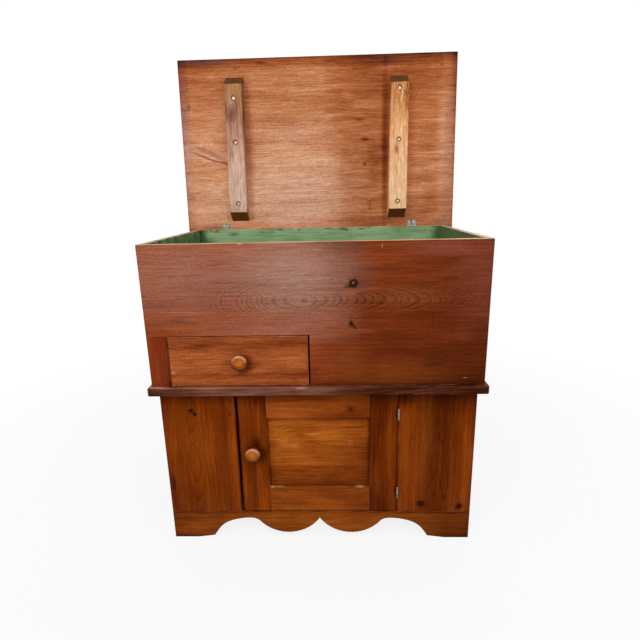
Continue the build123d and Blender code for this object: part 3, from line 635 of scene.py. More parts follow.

# Stained and waxed pine, one wide flat-sawn board, with a painted pinkish sheen over its left and middle.
binFront = {
    **pine,
    "painted": True,
    "heart": (-20, 739, -225),
    "stretch": (3.1, 8.5),
    "spacing": 2.7,
    "uneven": 1.1,
    "ring": 0.05,
    "ringOver": 0.55,
    "ringPatches": [(-110, 739, 250, 86), (200, 739, 340, 76)],
    "ringElsewhere": 0.1,
    "wave": (150, 40, 4.2),
    "streak": (430, 8, 0.09),
    "fibre": (50, 1.6, 0.10),
    "cloud": (230, 50, 0.10),
    "grain": [(130, 3.0, 0.5), (30, 3.4, 0.3), (4.5, 3.4, 0.36)],
    "ramp": [(0.0, "#B86C42"), (0.3, "#984A26"), (0.5, "#7A3416"), (0.7, "#5C220A"), (1.0, "#280C04")],
    # paler on the left and middle, darker to the right: partly the wood and partly painted sheen
    "alongTone": [(-460, -0.12), (-300, -0.12), (-60, -0.14), (10, -0.1), (60, 0.05), (100, 0.07),
                  (180, 0.05), (330, 0.1), (460, 0.1)],
    "acrossTone": [(500, 0.22), (560, 0.14), (640, 0.07), (700, 0.04), (738, 0.07), (784, 0.04), (850, -0.02),
                   (892, 0.0)],
    "spots": [(100, 758, 30, 12, -0.16), (360, 839, 38, 12, 0.13), (357, 793, 38, 12, 0.13),
              (313, 560, 46, 9, 0.2), (44, 882, 130, 14, 0.12), (-452, 756, 14, 3, 0.3),
              (-373, 690, 60, 9, 0.12), (-410, 734, 90, 14, 0.14), (60, 784, 60, 6, 0.14),
              (430, 520, 90, 40, 0.06), (440, 640, 50, 60, 0.1), (310, 690, 6, 40, 0.06),
              (-150, 646, 40, 3, 0.2), (-30, 646, 30, 3, 0.2), (40, 540, 50, 70, -0.1),
              (190, 712, 70, 30, -0.05), (-280, 775, 180, 44, 0.09)],
    # the two broad pinkish tints high on the left and middle, at -330 and -50, are painted sheen; the others
    # are stain
    "tints": [(-330, 812, 330, 200, "#966250", 0.75), (85, 570, 80, 90, "#8A4420", 0.45),
              (85, 800, 44, 70, "#7C3E24", 0.4), (60, 695, 90, 110, "#8A4626", 0.6),
              (210, 535, 220, 56, "#843F14", 0.5), (-50, 800, 240, 200, "#A07A6A", 0.78),
              (-130, 655, 330, 60, "#A2624C", 0.55), (430, 800, 120, 230, "#783E2E", 0.45),
              (320, 872, 150, 34, "#864A3C", 0.45), (240, 745, 170, 50, "#90502C", 0.5),
              (-350, 712, 120, 2.4, "#BC7048", 0.6), (-330, 666, 150, 12, "#A04A1C", 0.45),
              (92, 757, 24, 13, "#A2562E", 0.55), (130, 655, 60, 10, "#98481C", 0.4),
              (176, 879, 1.5, 7, "#D0A890", 0.7), (403, 519, 9, 1.5, "#C89878", 0.7),
              (-186, 891, 12, 3, "#DDB892", 0.9)],
    "slants": [(88, 777, 15, 8, 24, "#4C2A1C", 0.8), (101, 669, 20, 7, -44, "#3E1A0C", 0.85)],
    "knots": [(103, 784, 13.5, 14.5), (96, 675, 7, 8)],
    "knotRagged": 0.25,
    "knotPush": 3.0,
    "knotRamp": [(0.0, "#927264"), (0.14, "#5C3E30"), (0.3, "#381A10"), (0.75, "#34180E"), (1.0, "#4C2616")],
    "wearAndHighlightColour": "#C0866A",
    "seed": 1.0,
}
dressBoard("stainedPineBinFront", binFront, "bin_front_board")

# The short piece beside the drawer, of cleaner and redder wood.
drawerStile = {
    **pine,
    "order": "ZXY",
    "ring": 0.06,
    "streak": (300, 10, 0.12),
    "cloud": (120, 30, 0.12),
    "ramp": [(0.0, "#A8502E"), (0.35, "#8C3A1A"), (0.55, "#742D10"), (0.75, "#541C06"), (1.0, "#260A01")],
    "acrossTone": [(-457, -0.08), (-440, -0.02), (-415, 0.02), (-401, 0.16)],
    "seed": 2.0,
}
dressBoard("stainedPineDrawerStile", drawerStile, "drawer_side_stile")

# A livelier, more golden board, with a painted shadow round its knob, below it and to the right.
drawerFront = {
    **pine,
    "heart": (-520, 560, -150),
    "stretch": (12, 16),
    "spacing": 6.0,
    "ring": 0.08,
    "wave": (150, 40, 6),
    "streak": (260, 9, 0.08),
    "fibre": (50, 1.6, 0.11),
    "cloud": (140, 26, 0.08),
    "grain": [(90, 3.0, 0.55), (26, 3.2, 0.4), (4.5, 3.2, 0.34)],
    "ramp": [(0.0, "#D08450"), (0.3, "#B66636"), (0.5, "#9A4E26"), (0.7, "#743216"), (1.0, "#301204")],
    "alongTone": [(-400, -0.04), (-330, 0.0), (-180, 0.0), (-20, 0.05)],
    "acrossTone": [(501, 0.0), (520, -0.03), (533, 0.12), (545, -0.04), (580, -0.06), (605, 0.02), (622, 0.1),
                   (643, 0.02)],
    # the spot at -200, 565 is the knob's painted shadow
    "spots": [(-312, 619, 60, 8, 0.12), (-93, 532, 90, 6, 0.03), (-330, 612, 40, 6, 0.08),
              (-200, 565, 40, 38, 0.6), (-36, 600, 30, 50, -0.06)],
    "tints": [(-175, 633, 60, 8, "#B4642A", 0.5), (-54, 555, 60, 10, "#AC5E28", 0.4),
              (-394, 541, 12, 8, "#D09058", 0.5), (-395, 502, 9, 2.4, "#D8A878", 0.9),
              (-380, 502, 6, 2, "#D8A878", 0.8), (-34, 502, 16, 2.4, "#D8A878", 0.9),
              (-62, 502, 7, 2, "#D8A878", 0.7)],
    "edgeTone": 0.06,
    "wearAndHighlightColour": "#CC9274",
    "wearAndHighlightMix": 0.6,
    "wearWidth": 1.7,
    "seed": 3.0,
}
dressBoard("stainedPineDrawerFront", drawerFront, "drawer_front")

# The bin's side boards, of the same stained pine.
binSide = {
    **pine,
    "painted": True,
    "order": "YZX",
    "heart": (60, 700, -395),
    "stretch": (9, 12),
    "spacing": 3.6,
    "streak": (380, 9, 0.2),
    "ramp": [(0.0, "#B0622E"), (0.3, "#904318"), (0.5, "#76300C"), (0.7, "#561E04"), (1.0, "#260A02")],
    "knots": [(130, 640, 12, 10)],
}
binSideRight = {**binSide, "heart": (-40, 730, 395), "knots": [(-90, 800, 12, 9)], "seed": 6.0}
dressBoard("stainedPineBinSideLeft", {**binSide, "seed": 5.0}, "bin_side_left")
dressBoard("stainedPineBinSideRight", binSideRight, "bin_side_right")

# The shelf-like board between bin and base: the darkest wood, paler along its top front edge, as worn stain
# and a painted highlight on that arris.
waist = {
    **pine,
    "painted": True,
    "heart": (-200, 700, 0),
    "streak": (300, 7, 0.2),
    "ramp": [(0.0, "#A67660"), (0.3, "#7C5040"), (0.5, "#5C3224"), (0.7, "#421B0C"), (1.0, "#180703")],
    "alongTone": [(-467, 0.02), (-300, -0.06), (-100, -0.1), (20, -0.1), (100, 0.04), (200, 0.16),
                  (467, 0.2)],
    "spots": [(-60, 490, 40, 14, 0.14), (-450, 476, 40, 8, 0.26), (440, 482, 60, 14, 0.06)],
    # the thin pale tints at 500, along the top front edge, are a painted highlight on that arris, with some
    # wear
    "tints": [(-440, 500, 60, 3, "#C09484", 0.85), (-290, 500, 170, 3, "#9C6850", 0.7),
              (-110, 500, 90, 3, "#8E5A46", 0.5), (-42, 500, 26, 3, "#D0A884", 0.9),
              (-60, 494, 60, 8, "#8A5844", 0.4), (150, 500, 160, 3, "#6E3A24", 0.6),
              (-310, 491, 60, 6, "#845646", 0.5)],
    "edgeTone": 0.0,
    "grain": [(90, 2.8, 0.6), (26, 3.0, 0.4), (4.5, 3.2, 0.34)],
    "wearAndHighlightColour": "#90583E",
    "wearAndHighlightMix": 0.5,
    "wearWidth": 3.4,
    "seed": 7.0,
}
dressBoard("darkStainedPineWaist", waist, "waist_board")

# The upright boards of the base and the door have coarser threads.
uprightPine = {
    **pine,
    "order": "ZXY",
    "grain": [(110, 4.0, 0.36), (26, 4.0, 0.2), (4.5, 3.6, 0.24)],
}
stileLeft = {
    **uprightPine,
    "heart": (290, -362, -240),
    "stretch": (6, 9),
    "spacing": 4.6,
    "ring": 0.13,
    "wave": (200, 40, 6),
    "streak": (380, 10, 0.12),
    "cloud": (180, 50, 0.12),
    # darker towards the top, under the waist's overhang: painted shade
    "alongTone": [(90, 0.06), (200, 0.02), (300, -0.05), (400, 0.02), (440, 0.08), (475, 0.2)],
    "acrossTone": [(-444, 0.05), (-420, 0.0), (-360, 0.0), (-290, -0.02), (-267, 0.07), (-252, -0.06),
                   (-240, -0.14), (-231, 0.0)],
    "spots": [(409, -249, 12, 7, 0.2), (185, -431, 40, 10, 0.22), (150, -380, 60, 40, 0.06)],
    "knots": [(421, -359, 4.5, 4.5), (410, -349, 4.5, 4.5)],
    "knotPush": 3.0,
    "seed": 8.0,
}
dressBoard("stainedPineStileLeft", stileLeft, "base_stile_left")

stileRight = {
    **uprightPine,
    "heart": (150, 338, -225),
    "stretch": (10, 12),
    "spacing": 5.2,
    "ring": 0.12,
    "wave": (220, 40, 8),
    "streak": (420, 13, 0.13),
    "cloud": (200, 50, 0.10),
    # darker towards the top, under the waist's overhang: painted shade
    "alongTone": [(90, 0.0), (250, 0.0), (400, 0.04), (440, 0.16), (475, 0.32)],
    "acrossTone": [(229, 0.02), (240, -0.06), (257, -0.12), (290, 0.04), (338, 0.16), (375, 0.12),
                   (408, -0.02), (430, -0.04), (444, 0.06)],
    "spots": [(139, 366, 14, 9, 0.14), (204, 333, 10, 7, 0.14), (460, 248, 46, 34, 0.3),
              (407, 230, 30, 9, 0.24), (156, 230, 30, 9, 0.24)],
    "tints": [(300, 300, 280, 44, "#8C4612", 0.35), (300, 418, 150, 8, "#9A4A12", 0.4),
              (160, 424, 60, 12, "#8E420E", 0.4), (330, 257, 170, 8, "#924410", 0.3)],
    "knots": [(117, 300, 9, 10), (108, 412, 8, 8)],
    "knotPush": 5.0,
    "seed": 9.0,
}
dressBoard("stainedPineStileRight", stileRight, "base_stile_right")

doorStileLeft = {
    **uprightPine,
    "ring": 0.06,
    "streak": (420, 8, 0.17),
    # darker towards the top, under the waist's overhang: painted shade
    "alongTone": [(91, 0.0), (300, 0.02), (400, 0.04), (440, 0.1), (474, 0.26)],
    "acrossTone": [(-226, 0.08), (-216, -0.04), (-190, 0.05), (-165, -0.1), (-152, 0.0), (-144, 0.0)],
    "spots": [(322, -175, 24, 20, 0.2), (447, -172, 30, 12, 0.14), (284, -176, 42, 40, 0.5)],
    "tints": [(198, -168, 90, 3, "#A0561C", 0.5)],
    "seed": 10.0,
}
dressBoard("stainedPineDoorStileLeft", doorStileLeft, "door_stile_left")

doorStileRight = {
    **uprightPine,
    "ring": 0.06,
    "streak": (420, 8, 0.17),
    # darker towards the top, under the waist's overhang: painted shade
    "alongTone": [(91, 0.14), (300, 0.12), (400, 0.15), (440, 0.22), (474, 0.36)],
    "acrossTone": [(147, 0.06), (165, 0.0), (182, 0.06), (196, 0.06), (212, -0.12), (221, -0.1), (228, 0.04)],
    "spots": [(407, 225, 30, 7, 0.22), (156, 225, 30, 7, 0.22)],
    "tints": [(324, 177, 34, 4, "#8A4412", 0.4)],
    "seed": 11.0,
}
dressBoard("stainedPineDoorStileRight", doorStileRight, "door_stile_right")

# The door's rails lie crosswise, the lower one rubbed pale along its upper edge.
doorRailTop = {
    **pine,
    "ring": 0.08,
    "streak": (260, 8, 0.13),
    "ramp": [(0.0, "#B86C30"), (0.3, "#984A18"), (0.5, "#78340A"), (0.7, "#541D02"), (1.0, "#240900")],
    "alongTone": [(-185, -0.18), (-100, -0.15), (-10, -0.03), (90, 0.05), (187, 0.1)],
    # darker towards its top, under the waist's overhang: painted shade
    "acrossTone": [(393, 0.06), (410, -0.02), (440, 0.0), (474, 0.14)],
    "spots": [(94, 424, 24, 14, 0.2), (94, 424, 8, 6, 0.2)],
    "seed": 12.0,
}
dressBoard("stainedPineDoorRailTop", doorRailTop, "door_rail_top")

doorRailBottom = {
    **pine,
    "ring": 0.1,
    "streak": (220, 9, 0.12),
    "ramp": [(0.0, "#B86A26"), (0.3, "#9A4E16"), (0.5, "#803B0C"), (0.7, "#5A2405"), (1.0, "#260B01")],
    "alongTone": [(-185, 0.02), (0, -0.05), (187, 0.04)],
    "spots": [(33, 112, 130, 26, -0.16)],
    "tints": [(2, 130, 70, 16, "#A4561C", 0.4), (-138, 172, 8, 2.2, "#CFA47E", 0.8),
              (-120, 172, 24, 1.8, "#B88458", 0.6), (120, 172, 20, 2.0, "#C89C78", 0.8),
              (60, 172, 40, 1.4, "#A87044", 0.5)],
    "seed": 13.0,
}
dressBoard("stainedPineDoorRailBottom", doorRailBottom, "door_rail_bottom")

# The panel takes more light and was worn to gold across its middle.
doorPanel = {
    **pine,
    "heart": (140, 330, -225),
    "stretch": (6, 10),
    "spacing": 5.5,
    "ring": 0.12,
    "wave": (120, 34, 8),
    "streak": (240, 9, 0.12),
    "ramp": [(0.0, "#C47428"), (0.3, "#AA5A1A"), (0.5, "#8C420F"), (0.7, "#642A07"), (1.0, "#280C02")],
    "alongTone": [(-145, 0.04), (-120, -0.06), (-60, -0.06), (20, 0.0), (70, 0.06), (110, 0.08), (147, 0.14)],
    "acrossTone": [(173, 0.12), (182, 0.12), (210, 0.1), (234, 0.06), (242, -0.06), (290, 0.02), (340, -0.05),
                   (380, -0.04), (393, 0.06)],
    "spots": [(20, 270, 90, 20, 0.06), (30, 340, 90, 54, -0.26),
              (-70, 300, 90, 40, -0.08), (120, 320, 40, 60, -0.06), (120, 256, 40, 30, -0.04)],
    "tints": [(-99, 316, 26, 32, "#C07830", 0.5), (-69, 302, 22, 22, "#C07830", 0.45),
              (-16, 342, 38, 7, "#C88038", 0.65), (-110, 356, 40, 10, "#B8702C", 0.35),
              (93, 313, 14, 22, "#B46C28", 0.35), (30, 322, 60, 5, "#B46C28", 0.3)],
    "wearAndHighlightMix": 0.0,
    "seed": 14.0,
}
# its edges are where the door's frame covers it
panelBox = nodeBox("door_panel")
panelLow = Vector((nodeBox("door_stile_left")[1].x, panelBox[0].y, nodeBox("door_rail_bottom")[1].z))
panelHigh = Vector((nodeBox("door_stile_right")[0].x, panelBox[1].y, nodeBox("door_rail_top")[0].z))
dressBoard("stainedPineDoorPanel", doorPanel, "door_panel", edges=(panelLow, panelHigh))

# The apron is darker towards its ends, by the feet, and along its lower and upper edges.
apron = {
    **pine,
    "heart": (0, 120, -200),
    "ring": 0.1,
    "streak": (300, 8, 0.12),
    "ramp": [(0.0, "#B86C28"), (0.3, "#964C14"), (0.5, "#7A390A"), (0.7, "#562103"), (1.0, "#240A01")],
    "alongTone": [(-444, 0.14), (-380, 0.02), (-200, 0.0), (0, -0.09), (150, -0.09), (300, 0.04),
                  (444, 0.18)],
    "acrossTone": [(0, 0.1), (14, 0.0), (60, -0.02), (82, 0.0), (90, 0.1)],
    "seed": 15.0,
}
dressBoard("stainedPineApron", apron, "apron")

# The base's sides, with upright grain.
baseSide = {
    **pine,
    "order": "ZYX",
    "stretch": (9, 11),
    "ring": 0.14,
    "streak": (420, 11, 0.18),
    "ramp": [(0.0, "#AC5E24"), (0.3, "#8C4210"), (0.5, "#723006"), (0.7, "#501C02"), (1.0, "#220901")],
    "alongTone": [(0, 0.16), (40, 0.05), (400, 0.0), (475, 0.14)],
    "knots": [(300, 90, 12, 10)],
}
baseSideLeft = {**baseSide, "heart": (240, -20, -380), "seed": 16.0}
baseSideRight = {**baseSide, "heart": (300, 60, 380), "knots": [(150, -80, 10, 9)], "seed": 17.0}
dressBoard("stainedPineBaseSideLeft", baseSideLeft, "base_side_left")
dressBoard("stainedPineBaseSideRight", baseSideRight, "base_side_right")

# The lid's two boards run through as one face: stained reddish, with short dark pores, a painted pinkish
# sheen low in the middle and painted shadows beside the battens.
lidBoards = {
    **pine,
    "lid": True,
    "heart": (160, 330, -260),
    "stretch": (16, 16),
    "spacing": 6.0,
    "ring": 0.05,
    "wave": (240, 50, 7),
    "streak": (200, 3.6, 0.11),
    "fibre": (26, 1.5, 0.18),
    "cloud": (170, 26, 0.11),
    "grain": [(80, 3.0, 0.42), (24, 3.4, 0.32), (4.5, 3.4, 0.38), (240, 30, 0.34)],
    "ramp": [(0.0, "#EFC4A6"), (0.25, "#D89A72"), (0.5, "#B66C42"), (0.7, "#8E4620"), (0.86, "#6A3222"),
             (1.0, "#34140E")],
    "alongTone": [(-488, 0.2), (-466, 0.12), (-450, 0.0), (-330, -0.06), (-230, -0.07), (20, -0.05),
                  (90, 0.08), (160, 0.13), (200, 0.16), (280, 0.1), (420, 0.05), (448, 0.0), (462, 0.08),
                  (488, 0.22)],
    # paler low on the lid: partly the wood and partly painted sheen
    "acrossTone": [(-30, -0.02), (10, -0.1), (60, -0.17), (130, -0.25), (200, -0.19), (285, -0.13),
                   (400, -0.04), (500, 0.02), (545, 0.02), (558, 0.14), (582, 0.3)],
    # the spots at -250, 239 and 252, along the battens' inner sides, are the battens' painted shadows
    "spots": [(-196, 568, 30, 8, 0.2), (-284, 553, 22, 6, 0.16), (-458, 431, 10, 18, 0.2),
              (434, 544, 12, 8, 0.16), (434, 560, 12, 5, 0.16), (168, 309, 26, 12, 0.34),
              (150, 372, 30, 12, 0.18), (168, 223, 12, 10, 0.36), (212, 227, 16, 12, 0.08),
              (186, 70, 10, 24, 0.16), (186, 90, 12, 8, 0.12), (-468, 113, 24, 22, 0.24),
              (-400, 568, 120, 22, 0.2), (100, 378, 90, 16, 0.1), (230, 300, 20, 60, 0.06),
              (200, 150, 60, 60, 0.06), (-480, 300, 8, 10, 0.3), (60, 485, 170, 28, -0.12),
              (415, 100, 60, 70, 0.14), (-345, 133, 26, 24, 0.12), (50, 365, 70, 20, 0.08),
              (476, 290, 12, 5, 0.3), (40, 566, 40, 6, 0.1), (-60, 572, 260, 14, -0.05),
              (478, 545, 22, 60, 0.06), (380, 130, 110, 170, 0.07), (-440, 520, 50, 40, 0.06),
              (-400, 290, 80, 70, -0.14), (-330, 100, 160, 90, -0.1), (400, 290, 60, 60, 0.06),
              (108, 455, 34, 26, -0.13), (108, 204, 30, 26, -0.13), (205, 225, 50, 110, 0.14),
              (-150, 285, 130, 56, -0.06), (440, 360, 30, 150, -0.09), (100, 160, 50, 170, 0.08),
              (200, 430, 120, 70, -0.08), (252, 285, 26, 330, 0.08), (239, 275, 18, 420, 0.28),
              (-250, 285, 30, 330, 0.14), (-40, 485, 100, 26, -0.1), (230, 540, 80, 20, -0.1),
              (85, 217, 60, 22, -0.08), (177, 90, 6, 18, 0.07), (155, 137, 62, 7, 0.16),
              (150, 197, 50, 10, -0.14), (-367, 164, 26, 16, 0.14)],
    # the pinkish tints low in the middle, at -60 and -110, are painted sheen
    "tints": [(-60, 110, 230, 180, "#E9B19C", 0.6), (-110, 40, 280, 90, "#E3A892", 0.4),
              (330, 380, 150, 160, "#C27440", 0.35), (-420, 60, 110, 120, "#D89C80", 0.4),
              (-70, 330, 190, 80, "#C48A74", 0.3), (160, 200, 100, 90, "#B0643A", 0.3),
              (-472, 240, 28, 330, "#C89E92", 0.5), (464, 280, 28, 360, "#B88878", 0.5),
              (458, 90, 34, 90, "#94604E", 0.45), (-400, 6, 100, 20, "#8A6250", 0.6),
              (455, 14, 60, 40, "#7C5446", 0.6), (-430, 180, 70, 90, "#CE8A5C", 0.3),
              (-60, 447, 260, 5, "#CF9468", 0.4), (60, 246, 240, 6, "#D29A72", 0.4),
              (194, 309, 12, 14, "#9C5228", 0.5), (200, 300, 6, 12, "#7A2E14", 0.4),
              (-478, 292, 13, 14, "#A49C9C", 0.55), (250, 20, 260, 26, "#9A5A48", 0.35),
              (-472, 440, 22, 160, "#8C5E56", 0.5), (-380, 572, 130, 16, "#7A5A58", 0.3)],
    "slants": [(-392, 272, 84, 12, -24, "#A4625A", 0.65), (-400, 255, 78, 5.5, -19, "#6C3C34", 0.7),
               (-340, 236, 34, 7, -14, "#6A3026", 0.6)],
    "edgeTone": 0.14,
    "seed": 18.0,
}
# The lid's outer face kept its plain dark stain and its wax.
lidTop = {
    **pine,
    "lid": True,
    "heart": (-120, 300, 70),
    "stretch": (12, 15),
    "spacing": 4.4,
    "ring": 0.1,
    "wave": (240, 50, 7),
    "streak": (360, 9, 0.14),
    "cloud": (220, 60, 0.12),
    "ramp": [(0.0, "#B86A42"), (0.3, "#984A28"), (0.5, "#7C3818"), (0.7, "#5C240C"), (1.0, "#280C04")],
    "knots": [(-262, 402, 11, 12), (310, 176, 9, 10)],
    "edgeTone": 0.14,
    "seed": 38.0,
    "depth": (1.5, 0.5),           # how far under the outer face its look begins and is full
}


def dressLid(*names):
    made, tree = emptyMaterial("stainedPineLid")
    plan = planOf(tree, lidBoards)
    low, high = wholeBox([lidBox(name) for name in names])
    colour, tone, relief = woodOf(tree, plan, lidBoards, low, high)
    topColour, topTone, topRelief = woodOf(tree, plan, lidTop, low, high)
    begins, full = (high.y - depth for depth in lidTop["depth"])
    through = add(tree, "SeparateXYZ", [plan], out="Y")
    top = add(tree, "MapRange", {"Value": through, "From Min": begins, "From Max": full})
    colour = add(tree, "Mix", {0: top, 6: colour, 7: topColour}, **colourMix)
    tone = add(tree, "Mix", {0: top, 6: tone, 7: topTone}, **colourMix)
    relief = add(tree, "Mix", {0: top, 6: relief, 7: topRelief}, **colourMix)
    finishSurface(tree, lidBoards, colour, tone, relief)
    dress(made, *names)


dressLid("lid_board_rear", "lid_board_front")

# Two odd battens: the left of an old greyed wood, the right of a paler open-pored one; both painted paler
# towards the lower end, as painted sheen.
battenLeft = {
    **pine,
    "lid": True,
    "order": "ZXY",
    "heart": (360, -296, -60),
    "stretch": (5, 6),
    "ring": 0.1,
    "wave": (90, 30, 7),
    "streak": (150, 7, 0.15),
    "fibre": (36, 1.8, 0.12),
    "cloud": (80, 20, 0.22),
    "ramp": [(0.0, "#E2C0AC"), (0.3, "#C89A80"), (0.5, "#A87660"), (0.72, "#744834"), (1.0, "#2E160C")],
    # paler towards the lower end: painted sheen
    "alongTone": [(31, -0.12), (70, -0.26), (110, -0.4), (170, -0.46), (240, -0.28), (330, -0.06),
                  (400, 0.02), (520, 0.08)],
    "acrossTone": [(-319, 0.04), (-300, 0.0), (-275, -0.06), (-262, 0.04), (-258, 0.2)],
    # the spots round the screws, at 90, 301 and 446, are painted shade round their sunk heads
    "spots": [(390, -296, 50, 20, 0.16), (330, -300, 40, 10, 0.12), (160, -300, 70, 16, 0.12),
              (440, -300, 40, 12, -0.06), (120, -280, 60, 10, -0.08), (250, -280, 60, 10, -0.06),
              (90, -289, 9, 9, 0.2), (301, -289, 9, 9, 0.2), (446, -289, 9, 9, 0.2)],
    # the pale pinkish tints low down, at 70 and 90, are painted sheen
    "tints": [(472, -280, 56, 40, "#B27C46", 0.75), (455, -312, 60, 12, "#C08A5A", 0.5),
              (396, -292, 34, 17, "#6A403A", 0.65), (262, -304, 34, 12, "#86605A", 0.5),
              (430, -263, 70, 6, "#C8925C", 0.6), (70, -268, 60, 12, "#F0C4A0", 0.5),
              (90, -300, 70, 10, "#D8AC9C", 0.4)],
    "edgeTone": 0.04,
    "roughness": (0.5, 0.65),
    "seed": 19.0,
}
battenRight = {
    **battenLeft,
    "heart": (330, 300, -70),
    "stretch": (6, 6),
    "ring": 0.12,
    "streak": (120, 6, 0.2),
    "fibre": (24, 2.2, 0.34),      # the open pores, as short dark flecks
    "cloud": (80, 20, 0.14),
    "ramp": [(0.0, "#FFD0A2"), (0.3, "#EEB080"), (0.55, "#CE8A54"), (0.72, "#9C602E"), (1.0, "#3C1C0C")],
    # paler towards the lower end: painted sheen
    "alongTone": [(31, -0.44), (110, -0.46), (180, -0.42), (280, -0.22), (400, 0.0), (440, 0.1), (511, 0.14)],
    "acrossTone": [(255, 0.06), (262, 0.0), (300, -0.04), (316, 0.06)],
    # the spots round the screws, at 87, 297 and 465, are painted shade round their sunk heads
    "spots": [(87, 286, 10, 10, 0.22), (297, 286, 12, 11, 0.26), (465, 286, 10, 10, 0.22),
              (200, 276, 60, 9, 0.1), (270, 278, 26, 12, 0.3), (420, 300, 60, 8, 0.06)],
    "tints": [(262, 276, 22, 12, "#8A5038", 0.6), (335, 297, 22, 8, "#F0BE90", 0.5)],
    "seed": 20.0,
}
battenEnds = {
    "upper": ("#40240F", "#70482A"),       # dark and pale
    # painted paler than the upper end, as painted light on this downward-facing end
    "lower": ("#6A3818", "#965A2E"),
    "grain": (30, 3),              # length and width
    "bevel": 29.5,                 # how much shorter the free face is, at each end
    "slack": 1.6,                  # how far past a bevel its colour still reaches
    "holeInset": 12,               # the screws' holes are at least this far in from the sides
    "holeDepth": 0.8,              # and at least this deep
    # painted shade inside the sunk holes
    "holeShadeColour": "#86603E",
}


def battenEndColour(tree, plan, board, height, middle):
    # sawn end grain drinks the stain and stays dark; the lower, downward-facing end is painted paler than the
    # upper, as painted light
    grain = noiseOn(tree, plan, board, battenEnds["grain"], starts["endGrain"])
    low, high = noise["endGrain"]
    grain = add(tree, "MapRange", {"Value": grain, "From Min": low, "From Max": high})
    shades = []
    for end in ("lower", "upper"):
        dark, pale = (linear(text) for text in battenEnds[end])
        shades.append(add(tree, "Mix", {0: grain, 6: dark, 7: pale}, **colourMix))
    aloft = add(tree, "Math", [height, middle], operation="GREATER_THAN")
    return add(tree, "Mix", {0: aloft, 6: shades[0], 7: shades[1]}, **colourMix)


def dressBatten(materialName, board, name):
    made, tree = emptyMaterial(materialName)
    plan = planOf(tree, board)
    low, high = lidBox(name)
    colour, tone, relief = woodOf(tree, plan, board, low, high)
    parts = add(tree, "SeparateXYZ", [plan]).node.outputs
    least = leastReach(tree, plan, low, high)
    bevel = battenEnds["bevel"]
    depth = add(tree, "Math", [parts["Y"], low.y], operation="SUBTRACT")
    slope = add(tree, "Math", [depth, -bevel / (high.y - low.y), bevel], operation="MULTIPLY_ADD")
    inward = add(tree, "Math", [least["Z"], slope], operation="SUBTRACT")
    ends = add(tree, "Math", [inward, battenEnds["slack"]], operation="LESS_THAN")
    endColour = battenEndColour(tree, plan, board, parts["Z"], (low.z + high.z) / 2)
    colour = add(tree, "Mix", {0: ends, 6: colour, 7: endColour}, **colourMix)
    # only the holes that sink the screw heads are both deep and far in from the sides; they are coloured
    # darker, as painted shade in the recess
    inside = add(tree, "Math", [least["X"], battenEnds["holeInset"]], operation="GREATER_THAN")
    deep = add(tree, "Math", [depth, battenEnds["holeDepth"]], operation="GREATER_THAN")
    holeShade = add(tree, "Math", [inside, deep], operation="MULTIPLY")
    flat = add(tree, "Math", [1.0, ends], operation="SUBTRACT")
    holeShade = add(tree, "Math", [holeShade, flat], operation="MULTIPLY")
    colour = add(tree, "Mix", {0: holeShade, 6: colour, 7: linear(battenEnds["holeShadeColour"])}, **colourMix)
    finishSurface(tree, board, colour, tone, relief)
    dress(made, name)


dressBatten("greyedElmBatten", battenLeft, "lid_batten_left")
dressBatten("openPoredAshBatten", battenRight, "lid_batten_right")

# Bare pine that was never stained, gone tan with age: inside the carcass and the drawer, and across the back.
barePine = {
    **pine,
    "heart": (0, 0, -120),
    "stretch": (11, 13),
    "spacing": 6.0,
    "ring": 0.18,
    "streak": (380, 12, 0.16),
    "ramp": [(0.0, "#E0BC8C"), (0.35, "#CDA06C"), (0.55, "#B98A56"), (0.75, "#94653A"), (1.0, "#4A2E18")],
    "edgeTone": 0.1,
    "roughness": (0.55, 0.7),
    "bump": 0.16,
}
backPine = {
    **barePine,
    "ramp": [(0.0, "#C49A6C"), (0.35, "#A97C50"), (0.55, "#8E643E"), (0.75, "#6A4628"), (1.0, "#33200F")],
}
binBack = {**backPine, "painted": True, "heart": (60, 700, 460), "knots": [(-210, 640, 12, 10)], "seed": 21.0}
dressBoard("agedPineBinBack", binBack, "bin_back_board")
for place, name in enumerate(("left", "middle", "right")):
    baseBack = {
        **backPine,
        "order": "ZXY",
        "heart": (200 + 60 * place, -290 + 290 * place, 420),
        "knots": [(380 - 110 * place, -330 + 300 * place, 10, 9)],
        "seed": 22.0 + place,
    }
    dressBoard("agedPineBack" + name.title(), baseBack, "base_back_board_" + name)

# material, axes, seed, whether the bin's paint covers it, and the pieces
bareBoards = [
    ("agedPineCupboardFloor", "XYZ", 26.0, False, "cupboard_floor"),
    ("agedPineCleats", "YXZ", 27.0, False, "floor_cleats", "foot_blocks"),
    ("paintedPinePocket", "XYZ", 28.0, True, "drawer_pocket_top"),
    ("paintedPinePocketSide", "YZX", 29.0, True, "drawer_pocket_side"),
    ("agedPineDrawerSides", "YZX", 30.0, False, "drawer_side_left", "drawer_side_right"),
    ("agedPineDrawerBack", "XZY", 31.0, False, "drawer_back"),
    ("agedPineDrawerBottom", "XYZ", 32.0, False, "drawer_bottom"),
    ("agedPineGuides", "YZX", 33.0, False, "drawer_guide", "drawer_stop"),
    ("agedPineDoorStop", "XZY", 34.0, False, "door_stop"),
    ("agedPineLatch", "ZXY", 35.0, False, "door_latch_bar", "door_latch_peg"),
]
for materialName, order, seed, painted, *names in bareBoards:
    dressBoard(materialName, {**barePine, "order": order, "seed": seed, "painted": painted}, *names)
print("boards dressed")

